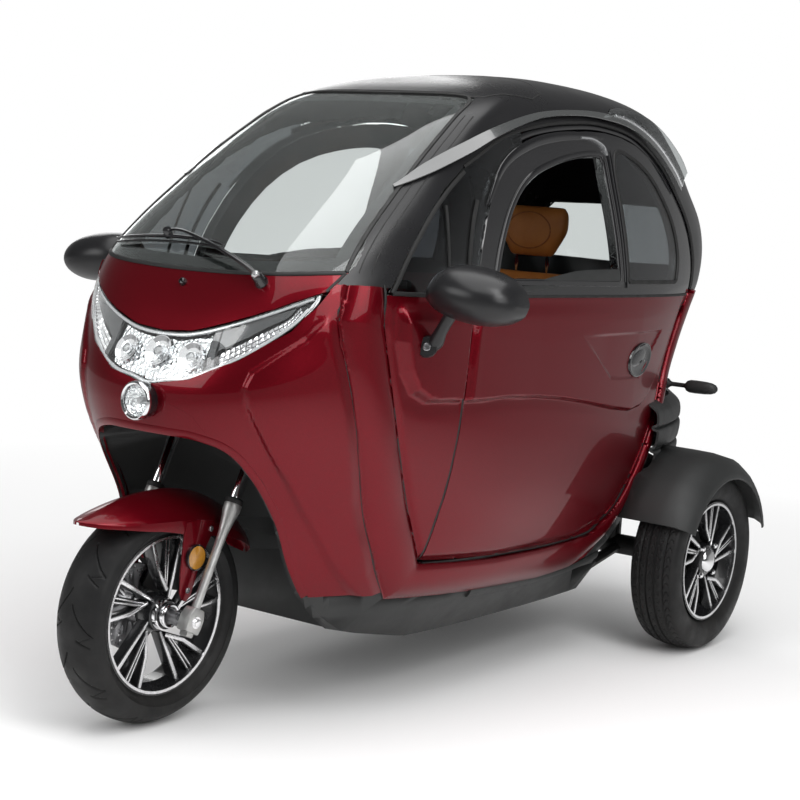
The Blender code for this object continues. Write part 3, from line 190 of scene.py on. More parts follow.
def soft_box(name, place, target, size, watts):
    """A large rectangular lamp that faces a point."""
    data = bpy.data.lights.new(name, "AREA")
    data.shape = "RECTANGLE"
    data.size, data.size_y = size
    data.energy = watts
    lamp = bpy.data.objects.new(name, data)
    bpy.context.scene.collection.objects.link(lamp)
    lamp.location = place
    lamp.rotation_euler = (Vector(target) - Vector(place)).to_track_quat("-Z", "Y").to_euler()
    return lamp


for name, place, target, size, watts in SOFT_BOXES:
    soft_box(name, place, target, size, watts)
print("soft boxes:", len(SOFT_BOXES))

# %% [markdown]
# The floor is white paper that glows a little more towards its edge, so that it runs into the world
# without a line. It keeps the vehicle's shadow, and it is dimmer where the paint mirrors it.

# %% Floor
FLOOR_RADIUS = 14.0
FADE_FROM, FADE_TO = 1.4, 3.6
MIRRORED_GLOW = 0.4
bpy.ops.mesh.primitive_circle_add(
    vertices=96, radius=FLOOR_RADIUS, fill_type="NGON", location=(0, 0, -0.0005)
)
floor = bpy.context.object
floor.name = "floor"
sweep = bpy.data.materials.new("white sweep")
sweep.use_nodes = True
tree = sweep.node_tree
paper = tree.nodes["Principled BSDF"]
paper.inputs["Base Color"].default_value = (0.93, 0.93, 0.93, 1.0)
paper.inputs["Roughness"].default_value = 0.9
paper.inputs["Specular IOR Level"].default_value = 0.0
glossy = shader_node(tree, "LightPath").outputs["Is Glossy Ray"]
dimmed = shader_node(
    tree, "MapRange", {"Value": glossy, "To Min": 1.0, "To Max": MIRRORED_GLOW}
).outputs["Result"]
glow = shader_node(tree, "Emission", {"Strength": dimmed}).outputs[0]
place = shader_node(tree, "TexCoord").outputs["Object"]
length = shader_node(tree, "VectorMath", {0: place}, operation="LENGTH").outputs["Value"]
fade = shader_node(
    tree, "MapRange", {"Value": length, "From Min": FADE_FROM, "From Max": FADE_TO}
).outputs["Result"]
mix = shader_node(tree, "MixShader", {0: fade, 1: paper.outputs[0], 2: glow}).outputs[0]
tree.links.new(mix, tree.nodes["Material Output"].inputs["Surface"])
floor.data.materials.append(sweep)
print("floor:", FLOOR_RADIUS, "m")

# %% [markdown]
# Every finish is a Principled shader whose colour and roughness change a little over the surface.
# The small effects that many finishes share are node groups, built once: a moulded grain,
# the uneven shine that handling leaves, a drift of the colour, and dust that lies near the ground.


# %% Shared effects
ROAD_DUST = (0.22, 0.2, 0.17, 1.0)


def effect(name, inputs, output, kind="NodeSocketFloat"):
    """An empty node group with float or colour inputs and one output, and its two ends' sockets."""
    group = bpy.data.node_groups.new(name, "ShaderNodeTree")
    for socket, value in inputs.items():
        sort = "NodeSocketColor" if isinstance(value, tuple) else "NodeSocketFloat"
        group.interface.new_socket(socket, in_out="INPUT", socket_type=sort).default_value = value
    group.interface.new_socket(output, in_out="OUTPUT", socket_type=kind)
    return group, group.nodes.new("NodeGroupInput").outputs, group.nodes.new("NodeGroupOutput").inputs


def pattern(tree, kind, **values):
    """The outputs of a texture node that reads Object coordinates."""
    place = shader_node(tree, "TexCoord").outputs["Object"]
    return shader_node(tree, kind, {"Vector": place, **values}).outputs


def ranged(tree, value, low, high, low_in=0.35, high_in=0.65):
    """A value spread over a range. Either end may be a number or a socket."""
    ends = {"Value": value, "From Min": low_in, "From Max": high_in, "To Min": low, "To Max": high}
    return shader_node(tree, "MapRange", ends).outputs["Result"]


def blended(tree, factor, one, other):
    """A mix of two colours."""
    ends = {"Factor": factor, "A": one, "B": other}
    return shader_node(tree, "Mix", ends, data_type="RGBA").outputs["Result"]


def product_of(tree, one, other):
    return shader_node(tree, "Math", {0: one, 1: other}, operation="MULTIPLY").outputs[0]


GRAIN, start, end = effect("moulded grain", {"Scale": 700.0}, "Height")
cells = pattern(GRAIN, "TexVoronoi", Scale=start["Scale"])
GRAIN.links.new(cells["Distance"], end["Height"])

SHINE, start, end = effect("uneven shine", {"Scale": 9.0, "Low": 0.3, "High": 0.5}, "Roughness")
clouds = pattern(SHINE, "TexNoise", Scale=start["Scale"], Detail=6.0, Roughness=0.62)
SHINE.links.new(ranged(SHINE, clouds["Fac"], start["Low"], start["High"]), end["Roughness"])

GREY, DARK_GREY = (0.5, 0.5, 0.5, 1.0), (0.4, 0.4, 0.4, 1.0)
DRIFT, start, end = effect(
    "colour drift", {"Color": GREY, "Other": DARK_GREY, "Scale": 14.0}, "Color", "NodeSocketColor"
)
clouds = pattern(DRIFT, "TexNoise", Scale=start["Scale"], Detail=5.0, Roughness=0.55)
drifting = ranged(DRIFT, clouds["Fac"], 0.0, 1.0)
DRIFT.links.new(blended(DRIFT, drifting, start["Color"], start["Other"]), end["Color"])

BLACK = (0.05, 0.05, 0.05, 1.0)
DUST, start, end = effect(
    "road dust", {"Color": BLACK, "Amount": 0.2, "Top": 0.3}, "Color", "NodeSocketColor"
)
place = shader_node(DUST, "TexCoord").outputs["Object"]
height = shader_node(DUST, "SeparateXYZ", {0: place}).outputs["Z"]
low_down = ranged(DUST, height, 1.0, 0.0, 0.0, start["Top"])
clouds = pattern(DUST, "TexNoise", Scale=22.0, Detail=7.0, Roughness=0.7)
patchy = ranged(DUST, clouds["Fac"], 0.2, 1.0)
amount = product_of(DUST, product_of(DUST, low_down, patchy), start["Amount"])
DUST.links.new(blended(DUST, amount, start["Color"], ROAD_DUST), end["Color"])
print("shared effects:", [group.name for group in bpy.data.node_groups])


# %% Making a finish
def placed(tree, group, **values):
    """The output of a shared effect in a material, with its own values."""
    made = tree.nodes.new("ShaderNodeGroup")
    made.node_tree = group
    for socket, value in values.items():
        connect(tree, value, made.inputs[socket])
    return made.outputs[0]


def bumped(tree, height, strength, distance):
    """Tilts a finish's normals by the height of a pattern."""
    ends = {"Height": height, "Strength": strength, "Distance": distance}
    tree.links.new(
        shader_node(tree, "Bump", ends).outputs["Normal"], tree.nodes["Principled BSDF"].inputs["Normal"]
    )


def finish(name, color, roughness, drift=None, shine=None, grain=None, dust=None, **sockets):
    """A Principled finish. Drift, shine, grain and dust are the shared effects' own values."""
    made = bpy.data.materials.new(name)
    made.use_nodes = True
    tree = made.node_tree
    shader = tree.nodes["Principled BSDF"].inputs
    paint = (*color, 1.0)
    if drift:
        other, scale = drift
        paint = placed(tree, DRIFT, Color=paint, Other=(*other, 1.0), Scale=scale)
    if dust:
        paint = placed(tree, DUST, Amount=dust[0], Top=dust[1], Color=paint)
    connect(tree, paint, shader["Base Color"])
    shader["Roughness"].default_value = roughness
    if shine:
        tree.links.new(placed(tree, SHINE, Low=shine[0], High=shine[1], Scale=shine[2]), shader["Roughness"])
    if grain:
        bumped(tree, placed(tree, GRAIN, Scale=grain[0]), grain[1], grain[2])
    for socket, value in sockets.items():
        shader[socket.replace("_", " ")].default_value = value
    return made


# %% [markdown]
# Candy paint is a metallic red under a thick clear coat. The flakes are small cells, each a little
# lighter or darker and tilted a little, so that the red sparkles near a highlight.

# %% Candy red paint
RED = finish(
    "candy red paint", (0.13, 0.0015, 0.006), 0.34, Metallic=0.7, Coat_Weight=0.45, Coat_Roughness=0.02,
    Specular_IOR_Level=0.1,
)
DARK_FLAKE = (0.105, 0.001, 0.004, 1.0)
BRIGHT_FLAKE = (0.195, 0.002, 0.01, 1.0)
tree = RED.node_tree
flakes = pattern(tree, "TexVoronoi", Scale=1500.0)
lightness = ranged(tree, flakes["Color"], 0.0, 1.0, 0.0, 1.0)
paint = blended(tree, lightness, DARK_FLAKE, BRIGHT_FLAKE)
tree.links.new(paint, tree.nodes["Principled BSDF"].inputs["Base Color"])
bumped(tree, flakes["Distance"], 0.1, 0.0004)
print("candy red paint is mixed")

# %% [markdown]
# The other finishes differ in colour, shine and grain. Moulded plastic and rubber have a fine grain
# and hold a little dust, and cast metal is rougher than machined metal. One call makes each.

# %% Plastics, metals and rubber
SATIN = finish(
    "satin black paint", (0.012, 0.012, 0.013), 0.3, shine=(0.26, 0.33, 5.0),
    grain=(2600.0, 0.05, 0.0002), Specular_IOR_Level=0.42,
)
GLOSS = finish(
    "gloss black", (0.008, 0.008, 0.009), 0.12, shine=(0.09, 0.16, 6.0), Coat_Weight=0.6, Coat_Roughness=0.04
)
PLASTIC = finish(
    "moulded plastic", (0.02, 0.021, 0.021), 0.55, drift=((0.027, 0.028, 0.028), 6.0),
    shine=(0.42, 0.58, 7.0),
    grain=(900.0, 0.22, 0.0005), dust=(0.06, 0.35), Specular_IOR_Level=0.38,
)
RUBBER = finish(
    "tyre rubber", (0.008, 0.008, 0.0085), 0.7, drift=((0.013, 0.013, 0.013), 20.0), shine=(0.46, 0.7, 16.0),
    grain=(1400.0, 0.15, 0.0004), dust=(0.05, 0.3), Specular_IOR_Level=0.28,
)
SEAL = finish("rubber seal", (0.01, 0.01, 0.01), 0.6, shine=(0.5, 0.7, 30.0))
ALLOY = finish("black wheel paint", (0.012, 0.012, 0.013), 0.25, shine=(0.2, 0.32, 12.0), Coat_Weight=0.5)
MACHINED = finish(
    "machined alloy", (0.8, 0.8, 0.81), 0.2, drift=(
        (0.7, 0.7, 0.71), 60.0
    ), shine=(0.16, 0.3, 90.0), Metallic=0.95
)
CAST = finish(
    "cast aluminium", (0.56, 0.56, 0.55), 0.36, drift=((0.47, 0.47, 0.46), 30.0), shine=(0.3, 0.46, 22.0),
    grain=(1100.0, 0.18, 0.0004), Metallic=0.85,
)
CHROME = finish("chrome", (0.86, 0.86, 0.87), 0.06, shine=(0.03, 0.09, 25.0), Metallic=1.0)
STEEL = finish(
    "steel", (0.38, 0.38, 0.39), 0.32, drift=((0.28, 0.28, 0.29), 40.0), shine=(0.24, 0.42, 30.0),
    Metallic=0.95
)
FRAME_PAINT = finish("frame paint", (0.012, 0.012, 0.012), 0.42, shine=(0.36, 0.52, 14.0), dust=(0.1, 0.4))
CABIN = finish(
    "cabin trim", (0.014, 0.014, 0.015), 0.7, drift=((0.02, 0.02, 0.021), 9.0), grain=(500.0, 0.35, 0.001)
)
AMBER = finish(
    "amber reflector", (0.42, 0.19, 0.02), 0.18, drift=((0.34, 0.15, 0.02), 80.0), Coat_Weight=1.0
)
BRIGHT_RED = finish(
    "red lamp", (0.45, 0.006, 0.006), 0.15, drift=((0.3, 0.004, 0.004), 90.0), Coat_Weight=1.0
)
print("finishes:", len(bpy.data.materials))


# %% [markdown]
# Glass here is a clear shader with a tint. The windscreen is nearly clear and the side panes are dark,
# as tinted safety glass is. A plain see-through shader would lose the mirror-like shine at low angles.

# %% Glass
def glass(name, color):
    """Clear stuff with a tint."""
    return finish(name, color, 0.0, Transmission_Weight=1.0, IOR=1.45)


SCREEN_GLASS = glass("windscreen glass", (0.62, 0.66, 0.65))
DARK_GLASS = glass("dark side glass", (0.16, 0.17, 0.18))
LENS = glass("clear lamp cover", (0.97, 0.98, 0.98))
print("glass is ready")

# %% [markdown]
# Edit mode works on the active object and on what is selected in it. These helpers pick one piece and
# open it with all of it selected, so that no operator touches a piece that was left selected before.

# %% Picking and editing
def deselect():
    """Leaves edit mode and deselects every object, so that an operator acts only on what is picked."""
    if bpy.context.mode != "OBJECT":
        bpy.ops.object.mode_set(mode="OBJECT")
    bpy.ops.object.select_all(action="DESELECT")


def active(piece):
    deselect()
    bpy.context.view_layer.objects.active = piece
    piece.select_set(True)
    return piece


@contextmanager
def editing(piece):
    """Edit mode with everything selected, then object mode again."""
    active(piece)
    bpy.ops.object.mode_set(mode="EDIT")
    bpy.ops.mesh.select_all(action="SELECT")
    yield
    bpy.ops.object.mode_set(mode="OBJECT")


print("pieces are picked one at a time")

# %% [markdown]
# A painted panel on the real vehicle is one pressed or moulded skin with no flat places. The frame's
# panels have the right cuts but are built of small flat faces. Each is copied, its long edges are cut
# shorter, and every point of its outer face is laid on a finely drawn skin that runs through the same
# level outlines. The skin itself is a grid primitive laid out row by row.

# %% The fine skin
WIDEST_Y = -0.1
SKIN_LEVELS = np.array(
    (
        # height, nose from the front axle, tail from the rear axle, half width, widest at, squareness front and rear
        (0.15, 0.15, 0.24, 0.285, WIDEST_Y, 2.3, 3.0),
        (0.235, 0.085, 0.3, 0.345, WIDEST_Y, 2.2, 2.8),
        (0.3, 0.05, 0.33, 0.38, WIDEST_Y, 2.2, 2.6),
        (0.38, 0.025, 0.345, 0.405, WIDEST_Y, 2.2, 2.5),
        (0.47, 0.005, 0.35, 0.422, WIDEST_Y, 2.2, 2.4),
        (0.58, -0.03, 0.352, 0.433, WIDEST_Y, 2.45, 2.4),
        (0.67, -0.05, 0.355, 0.439, WIDEST_Y, 2.7, 2.4),
        (0.75, -0.053, 0.36, 0.44, WIDEST_Y, 2.95, 2.4),
        (0.85, -0.01, 0.372, 0.44, WIDEST_Y, 3.4, 2.6),
        (0.93, 0.03, 0.384, 0.438, WIDEST_Y, 3.9, 2.9),
        (1.0, 0.078, 0.39, 0.43, WIDEST_Y, 4.2, 3.4),
        (1.09, 0.188, 0.385, 0.412, WIDEST_Y, 4.6, 3.9),
        (1.17, 0.3, 0.36, 0.391, WIDEST_Y, 5.0, 4.2),
        (1.25, 0.414, 0.31, 0.367, WIDEST_Y, 5.4, 4.2),
        (1.32, 0.524, 0.25, 0.346, WIDEST_Y, 5.6, 4.4),
        (1.38, 0.628, 0.195, 0.325, WIDEST_Y, 5.4, 4.4),
        (1.43, 0.735, 0.135, 0.293, -0.02, 4.6, 4.6),
        (1.465, 0.85, 0.08, 0.245, 0.1, 3.8, 4.0),
        (1.49, 0.99, 0.01, 0.18, 0.25, 3.0, 3.2),
        (1.505, 1.14, -0.09, 0.105, 0.38, 2.5, 2.5),
        (1.512, 1.33, -0.23, 0.02, 0.44, 2.0, 2.0),
    )
)


def level_at(height):
    """The level's values at any height: cubic between the drawn levels."""
    heights = SKIN_LEVELS[:, 0]
    i = int(np.clip(np.searchsorted(heights, height) - 1, 0, len(heights) - 2))
    span = heights[i + 1] - heights[i]
    t = (height - heights[i]) / span
    ends = []
    for k in (i, i + 1):
        low, high = max(k - 1, 0), min(k + 1, len(heights) - 1)
        ends.append((SKIN_LEVELS[high] - SKIN_LEVELS[low]) / (heights[high] - heights[low]) * span)
    here, there = SKIN_LEVELS[i], SKIN_LEVELS[i + 1]
    return (
        (2 * t**3 - 3 * t**2 + 1) * here
        + (t**3 - 2 * t**2 + t) * ends[0]
        + (3 * t**2 - 2 * t**3) * there
        + (t**3 - t**2) * ends[1]
    )


def outline_at(height, columns):
    """Points round the right-hand half of the plan outline, nose to tail."""
    _, nose, tail, half_width, widest, front_n, rear_n = level_at(height)
    halves = []
    for reach, way, n in (
        (widest - FRONT_AXLE_Y - nose, -1, front_n),
        (REAR_AXLE_Y + tail - widest, 1, rear_n),
    ):
        turn = np.linspace(0.0, math.pi / 2, 400)
        x = half_width * np.sin(turn) ** (2 / n)
        y = widest + way * reach * np.cos(turn) ** (2 / n)
        walked = np.concatenate(([0.0], np.cumsum(np.hypot(np.diff(x), np.diff(y)))))
        wanted = np.linspace(0.0, walked[-1], columns)
        halves.append(np.stack((np.interp(wanted, walked, x), np.interp(wanted, walked, y)), 1))
    return np.concatenate((halves[0], halves[1][::-1][1:]))


COLUMNS = 60
heights = np.concatenate(
    [np.linspace(a, b, 7)[:-1] for a, b in zip(SKIN_LEVELS[:-1, 0], SKIN_LEVELS[1:, 0])] + [[1.512]]
)
around = 2 * COLUMNS - 1
bpy.ops.mesh.primitive_grid_add(x_subdivisions=around - 1, y_subdivisions=len(heights) - 1)
skin = bpy.context.object
points = np.zeros((len(heights), around, 3))
for row, height in enumerate(heights):
    points[row, :, :2] = outline_at(height, COLUMNS)
    points[row, :, 2] = height
skin.data.vertices.foreach_set("co", points.ravel())
with editing(skin):
    bpy.ops.mesh.remove_doubles(threshold=0.00001)
    bpy.ops.mesh.normals_make_consistent(inside=False)
half = skin.modifiers.new("other half", "MIRROR")
half.merge_threshold = 0.0001
half.use_clip = True
bpy.ops.object.modifier_apply(modifier=half.name)
print("fine skin:", len(skin.data.polygons), "faces")

# %% Reading the skin
skin.data.update()
skin_points = [vertex.co.copy() for vertex in skin.data.vertices]
skin_normals = [vertex.normal.copy() for vertex in skin.data.vertices]
skin_faces = [tuple(face.vertices) for face in skin.data.polygons]
if skin_normals[skin_faces[0][0]].dot(skin_points[skin_faces[0][0]] - Vector((0, 0, 0.7))) < 0:
    skin_normals = [-normal for normal in skin_normals]
SKIN_TREE = BVHTree.FromPolygons(skin_points, skin_faces)
bpy.data.objects.remove(skin, do_unlink=True)


def on_skin(place):
    """(the nearest point of the skin, its smooth normal there, how far away it is)"""
    spot, _, face, distance = SKIN_TREE.find_nearest(place)
    corners = skin_faces[face]
    shares = poly_3d_calc([skin_points[i] for i in corners], spot)
    normal = Vector((0, 0, 0))
    for share, i in zip(shares, corners):
        normal += skin_normals[i] * share
    return spot, normal.normalized(), distance


def seen_skin(place, ahead):
    """The point of the skin that a ray meets first, and the smooth normal there."""
    hit = SKIN_TREE.ray_cast(Vector(place), ahead)[0]
    return on_skin(hit)[:2]


def front_skin(x, z):
    return seen_skin((x, -3.0, z), BACKWARD)


def rear_skin(x, z):
    return seen_skin((x, 3.0, z), FORWARD)


def side_skin(y, z):
    return seen_skin((3.0, y, z), -SIDEWAYS)


def top_skin(x, y):
    return seen_skin((x, y, 3.0), DOWNWARD)


def lifted(skin, lift):
    """A map from two flat coordinates to a point some way off the skin."""
    def place(a, b):
        spot, normal = skin(a, b)
        return spot + normal * lift
    return place


print("the skin at the nose:", tuple(round(v, 3) for v in front_skin(0.0, 0.8)[0]))


# %% Workbench helpers
def cad_copy(node, name):
    """A copy of a frame node with its own mesh, its loose triangles merged."""
    piece = nodes[node].copy()
    piece.data = nodes[node].data.copy()
    piece.name = name
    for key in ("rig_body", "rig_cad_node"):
        if key in piece:
            del piece[key]
    piece.parent = None
    bpy.context.scene.collection.objects.link(piece)
    with editing(piece):
        bpy.ops.mesh.remove_doubles(threshold=0.00002)
    return piece


def shorten_edges(piece, longest, rounds=5):
    """Cuts the edges that are longer than a length, until none is."""
    active(piece)
    bpy.ops.object.mode_set(mode="EDIT")
    bpy.ops.mesh.select_mode(type="EDGE")
    for _ in range(rounds):
        shape = bmesh.from_edit_mesh(piece.data)
        long_edges = [edge for edge in shape.edges if edge.calc_length() > longest]
        if not long_edges:
            break
        bpy.ops.mesh.select_all(action="DESELECT")
        for edge in long_edges:
            edge.select_set(True)
        bmesh.update_edit_mesh(piece.data)
        bpy.ops.mesh.subdivide(number_cuts=1)
    bpy.ops.mesh.select_all(action="SELECT")
    bpy.ops.mesh.quads_convert_to_tris(quad_method="BEAUTY", ngon_method="BEAUTY")
    bpy.ops.object.mode_set(mode="OBJECT")


def skin_sides(mesh):
    """For each face of a shell's outer side True, of its inner side False. Rim faces are left out."""
    shape = bmesh.new()
    shape.from_mesh(mesh)
    shape.faces.ensure_lookup_table()
    sides, seen_faces = {}, set()
    for first in shape.faces:
        if first.index in seen_faces:
            continue
        seen_faces.add(first.index)
        group, waiting = [], [first]
        while waiting:
            face = waiting.pop()
            group.append(face)
            for edge in face.edges:
                if len(edge.link_faces) == 2 and edge.calc_face_angle(0.0) < math.radians(38):
                    for other in edge.link_faces:
                        if other.index not in seen_faces:
                            seen_faces.add(other.index)
                            waiting.append(other)
        facing = {face.index: face.normal.dot(on_skin(face.calc_center_median())[1]) for face in group}
        area = sum(face.calc_area() for face in group)
        mean = sum(face.calc_area() * facing[face.index] for face in group) / max(area, 1e-9)
        if abs(mean) > 0.7:
            sides.update({index: mean > 0 for index, value in facing.items() if value * mean > 0.3})
    shape.free()
    return sides


def lay_on_skin(piece, wall, form=None):
    """Moves the outer face to the fine skin and the inner face a wall below it, with the skin's normals.

    A form raises or sinks the outer face by some distance along the skin's normal.
    """
    mesh = piece.data
    sides = skin_sides(mesh)
    moved = {}
    for index, outer in sides.items():
        for vertex in mesh.polygons[index].vertices:
            if vertex in moved:
                continue
            spot, normal, _ = on_skin(mesh.vertices[vertex].co)
            if not outer:
                moved[vertex] = (spot - normal * wall, normal)
                continue
            if form is None:
                moved[vertex] = (spot, normal)
                continue
            rise = form(spot)
            across = normal.cross(Vector((0, 0, 1))).normalized()
            over = across.cross(normal)
            lean = sum(
                (
                    way * ((form(spot + way * 0.002) - rise) / 0.002)
                    for way in (across, over)
                ), Vector((0, 0, 0))
            )
            moved[vertex] = (spot + normal * rise, (normal - lean).normalized())
    for vertex, (spot, _) in moved.items():
        mesh.vertices[vertex].co = spot
    mesh.update()
    mesh.shade_smooth()
    mesh.set_sharp_from_angle(angle=math.radians(32))
    corner_normals = [Vector((0, 0, 0))] * len(mesh.loops)
    for index, outer in sides.items():
        for corner in mesh.polygons[index].loop_indices:
            normal = moved[mesh.loops[corner].vertex_index][1]
            corner_normals[corner] = normal if outer else -normal
    mesh.normals_split_custom_set(corner_normals)
    return len(sides)


# %% [markdown]
# Two of the panels aren't plain skin. The ring round the door swells like a tube, and the door's upper
# part stands proud: its lower edge is the character line, its front edge carries the mirror.

# %% Raised forms of the side
RING_OUTER = (
    (-0.738, 1.02), (-0.775, 0.91), (-0.748, 0.8), (-0.702, 0.67), (-0.64, 0.515), (-0.56, 0.35),
    (-0.5, 0.272), (-0.235, 0.258), (0.11, 0.24), (0.27, 0.248), (0.4, 0.315), (0.555, 0.445), (0.655, 0.55),
    (0.73, 0.665), (0.785, 0.775), (0.83, 0.89), (0.846, 1.02),
)
RING_INNER = (
    (-0.672, 0.985), (-0.67, 0.9), (-0.636, 0.78), (-0.588, 0.65), (-0.522, 0.51), (-0.44, 0.36),
    (-0.15, 0.343),
    (0.22, 0.34), (0.37, 0.37), (0.52, 0.475), (0.655, 0.64), (0.728, 0.82), (0.763, 0.975),
)
# The raised field of the side: its lower edge is the character line, its front end carries the mirror.
FIELD = np.array(
    (
        (-0.636, 1.1), (-0.648, 0.94), (-0.642, 0.865), (-0.618, 0.795), (-0.582, 0.748), (-0.53, 0.727),
        (-0.361, 0.724), (-0.25, 0.727), (-0.121, 0.724), (0.01, 0.713), (0.142, 0.696), (0.3, 0.672),
        (0.422, 0.659),
        (0.5, 0.667), (0.56, 0.69), (0.64, 0.745), (0.8, 0.9), (0.8, 1.1),
    )
)
FIELD_RISE = (
    (-0.6, -0.5, -0.361, -0.121, 0.142, 0.422, 0.56, 0.7),
    (0.022, 0.02, 0.015, 0.011, 0.009, 0.007, 0.003, 0.0),
)
# The door swings past the quarter panel here, so both are flush with the plain skin along this line.
SHUT_LINE = np.array(((-0.414, 0.48), (-0.408, 0.6), (-0.403, 0.75), (-0.398, 0.88), (-0.386, 0.97)))
# The cheek of the cowl, in front view: its inner edge is embossed.
CHEEK = np.array(
    (
        (0.297, 0.2), (0.297, 0.29), (0.283, 0.4), (0.268, 0.482), (0.263, 0.56), (0.246, 0.661),
        (0.233, 0.717),
        (0.226, 0.762), (0.236, 0.795), (0.268, 0.828), (0.31, 0.872), (0.338, 0.925), (0.352, 0.99),
    )
)
HANDLE_FIELD = ((0.07, 0.872), (0.6, 0.874), (0.452, 0.744), (0.262, 0.752))
ring_outer, ring_inner = np.array(RING_OUTER), np.array(RING_INNER)


def smooth(value):
    value = min(1.0, max(0.0, value))
    return value * value * (3 - 2 * value)


def distance_to(line, y, z):
    """The distance from a place to a bent line."""
    starts, spans = line[:-1], line[1:] - line[:-1]
    along = np.clip(((np.array((y, z)) - starts) * spans).sum(1) / (spans**2).sum(1), 0, 1)
    nearest = starts + spans * along[:, None]
    return float(np.hypot(nearest[:, 0] - y, nearest[:, 1] - z).min())


def ring_form(spot):
    outer, inner = distance_to(ring_outer, spot.y, spot.z), distance_to(ring_inner, spot.y, spot.z)
    share = outer / max(outer + inner, 1e-6)
    return 0.014 * math.sin(math.pi * share**0.9) ** 0.8 - 0.007 * math.exp(-((inner / 0.008) ** 2))


def cheek_form(spot):
    """The cowl's cheek stands proud of its middle, and rolls down towards the ring."""
    depth = abs(spot.x) - float(np.interp(spot.z, CHEEK[:8, 1], CHEEK[:8, 0]))
    if spot.z > CHEEK[7, 1]:
        depth = distance_to(CHEEK[6:], abs(spot.x), spot.z)
        if abs(spot.x) < float(np.interp(spot.z, CHEEK[7:, 1], CHEEK[7:, 0])):
            depth = -depth
    edge = smooth(distance_to(ring_outer, spot.y, spot.z) / 0.03) if spot.y > -0.88 else 1.0
    top = 1.0 - smooth((spot.z - 0.88) / 0.06)
    return 0.009 * smooth(depth / 0.014) * edge * top


def in_field(y, z):
    """How far a place is inside the field round the handle."""
    depth = 1.0
    count = len(HANDLE_FIELD)
    for i, (y0, z0) in enumerate(HANDLE_FIELD):
        y1, z1 = HANDLE_FIELD[(i + 1) % count]
        length = math.hypot(y1 - y0, z1 - z0)
        depth = min(depth, -((y1 - y0) * (z - z0) - (z1 - z0) * (y - y0)) / length)
    return depth


def inside(outline, y, z):
    """How deep a place lies inside a closed outline, less than nothing outside it."""
    closed = np.vstack((outline, outline[:1]))
    low, high = closed[:-1], closed[1:]
    crossing = (low[:, 1] > z) != (high[:, 1] > z)
    at = low[:, 0] + (z - low[:, 1]) * (high[:, 0] - low[:, 0]) / np.where(
        crossing, high[:, 1] - low[:, 1], 1.0
    )
    within = int((crossing & (at > y)).sum()) % 2
    depth = distance_to(outline, y, z)
    return depth if within else -depth


def side_form(spot):
    y, z = spot.y, spot.z
    rise = float(np.interp(y, *FIELD_RISE)) * smooth(distance_to(SHUT_LINE, y, z) / 0.02)
    depth = inside(FIELD, y, z)
    roll = float(np.interp(y, (-0.6, -0.5, -0.3), (0.028, 0.018, 0.011)))
    over = smooth(depth / roll)
    belt = 1.0 - smooth((z - 0.905) / 0.052)
    under = -0.003 * math.exp(-((min(0.0, depth) / 0.022) ** 2)) * (1.0 - over) * min(1.0, rise / 0.006)
    scoop = -0.005 * smooth(in_field(y, z) / 0.008) * smooth((y - 0.06) / 0.18)
    groove = -0.007 * math.exp(-((distance_to(ring_inner, y, z) / 0.01) ** 2)) * belt
    return rise * over * belt + under * belt + scoop + groove


FORMS = {"door_panel": side_form, "quarter_panel": side_form, "door_ring": ring_form, "front": cheek_form}


def dressed(piece, name, body, finishes, stands_for=()):
    """Names a finished piece, gives it its finish and its body, and hides the frame nodes it stands for."""
    piece.name = name
    piece.data.materials.clear()
    for material in finishes if isinstance(finishes, (list, tuple)) else (finishes,):
        piece.data.materials.append(material)
    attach(piece, body)
    if stands_for:
        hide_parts(*stands_for)
    return piece


# %% [markdown]
# Each panel gets the wall of its own solid: thin for a pane, thick for a door. A panel with a raised
# form is cut into shorter edges, so that the form has enough points to lie on.

# %% Painted panels
DOOR_BODIES = {"left": "door_left", "right": "door_right"}
PANELS = [
    ("front_cowl", RED, "vehicle"),
    ("hood", RED, "vehicle"),
    ("tail_panel", RED, "vehicle"),
    ("roof", SATIN, "vehicle"),
    ("rear_panel", SATIN, "vehicle"),
    ("windscreen", SCREEN_GLASS, "vehicle"),
    ("rear_window", SCREEN_GLASS, "vehicle"),
]
for word, side in SIDES:
    PANELS += [
        ("door_ring_" + word, RED, "vehicle"),
        ("quarter_panel_" + word, RED, "vehicle"),
        ("front_quarter_glass_" + word, DARK_GLASS, "vehicle"),
        ("door_panel_" + word, RED, DOOR_BODIES[word]),
        ("door_frame_" + word, GLOSS, DOOR_BODIES[word]),
        ("door_rear_glass_" + word, DARK_GLASS, DOOR_BODIES[word]),
    ]
for node, material, body in PANELS:
    panel = cad_copy(node, node + "_skin")
    kind = node.rpartition("_")[0]
    shorten_edges(panel, 0.01 if kind in FORMS else 0.022, 8)
    wall = 0.02
    if "glass" in node or node in ("windscreen", "rear_window"):
        wall = 0.006
    elif kind in ("door_panel", "door_frame"):
        wall = 0.03
    count = lay_on_skin(panel, wall, FORMS.get(kind))
    dressed(panel, node + "_skin", body, material, (node,))
    print(node, "laid on the skin:", count, "of", len(panel.data.polygons), "faces")

# %% [markdown]
# Most pieces are one of four kinds: a grid of sections, a flat plate, a turned shape or a ribbon on the
# skin. Each kind has one helper, which starts from a primitive and works on it in edit mode.

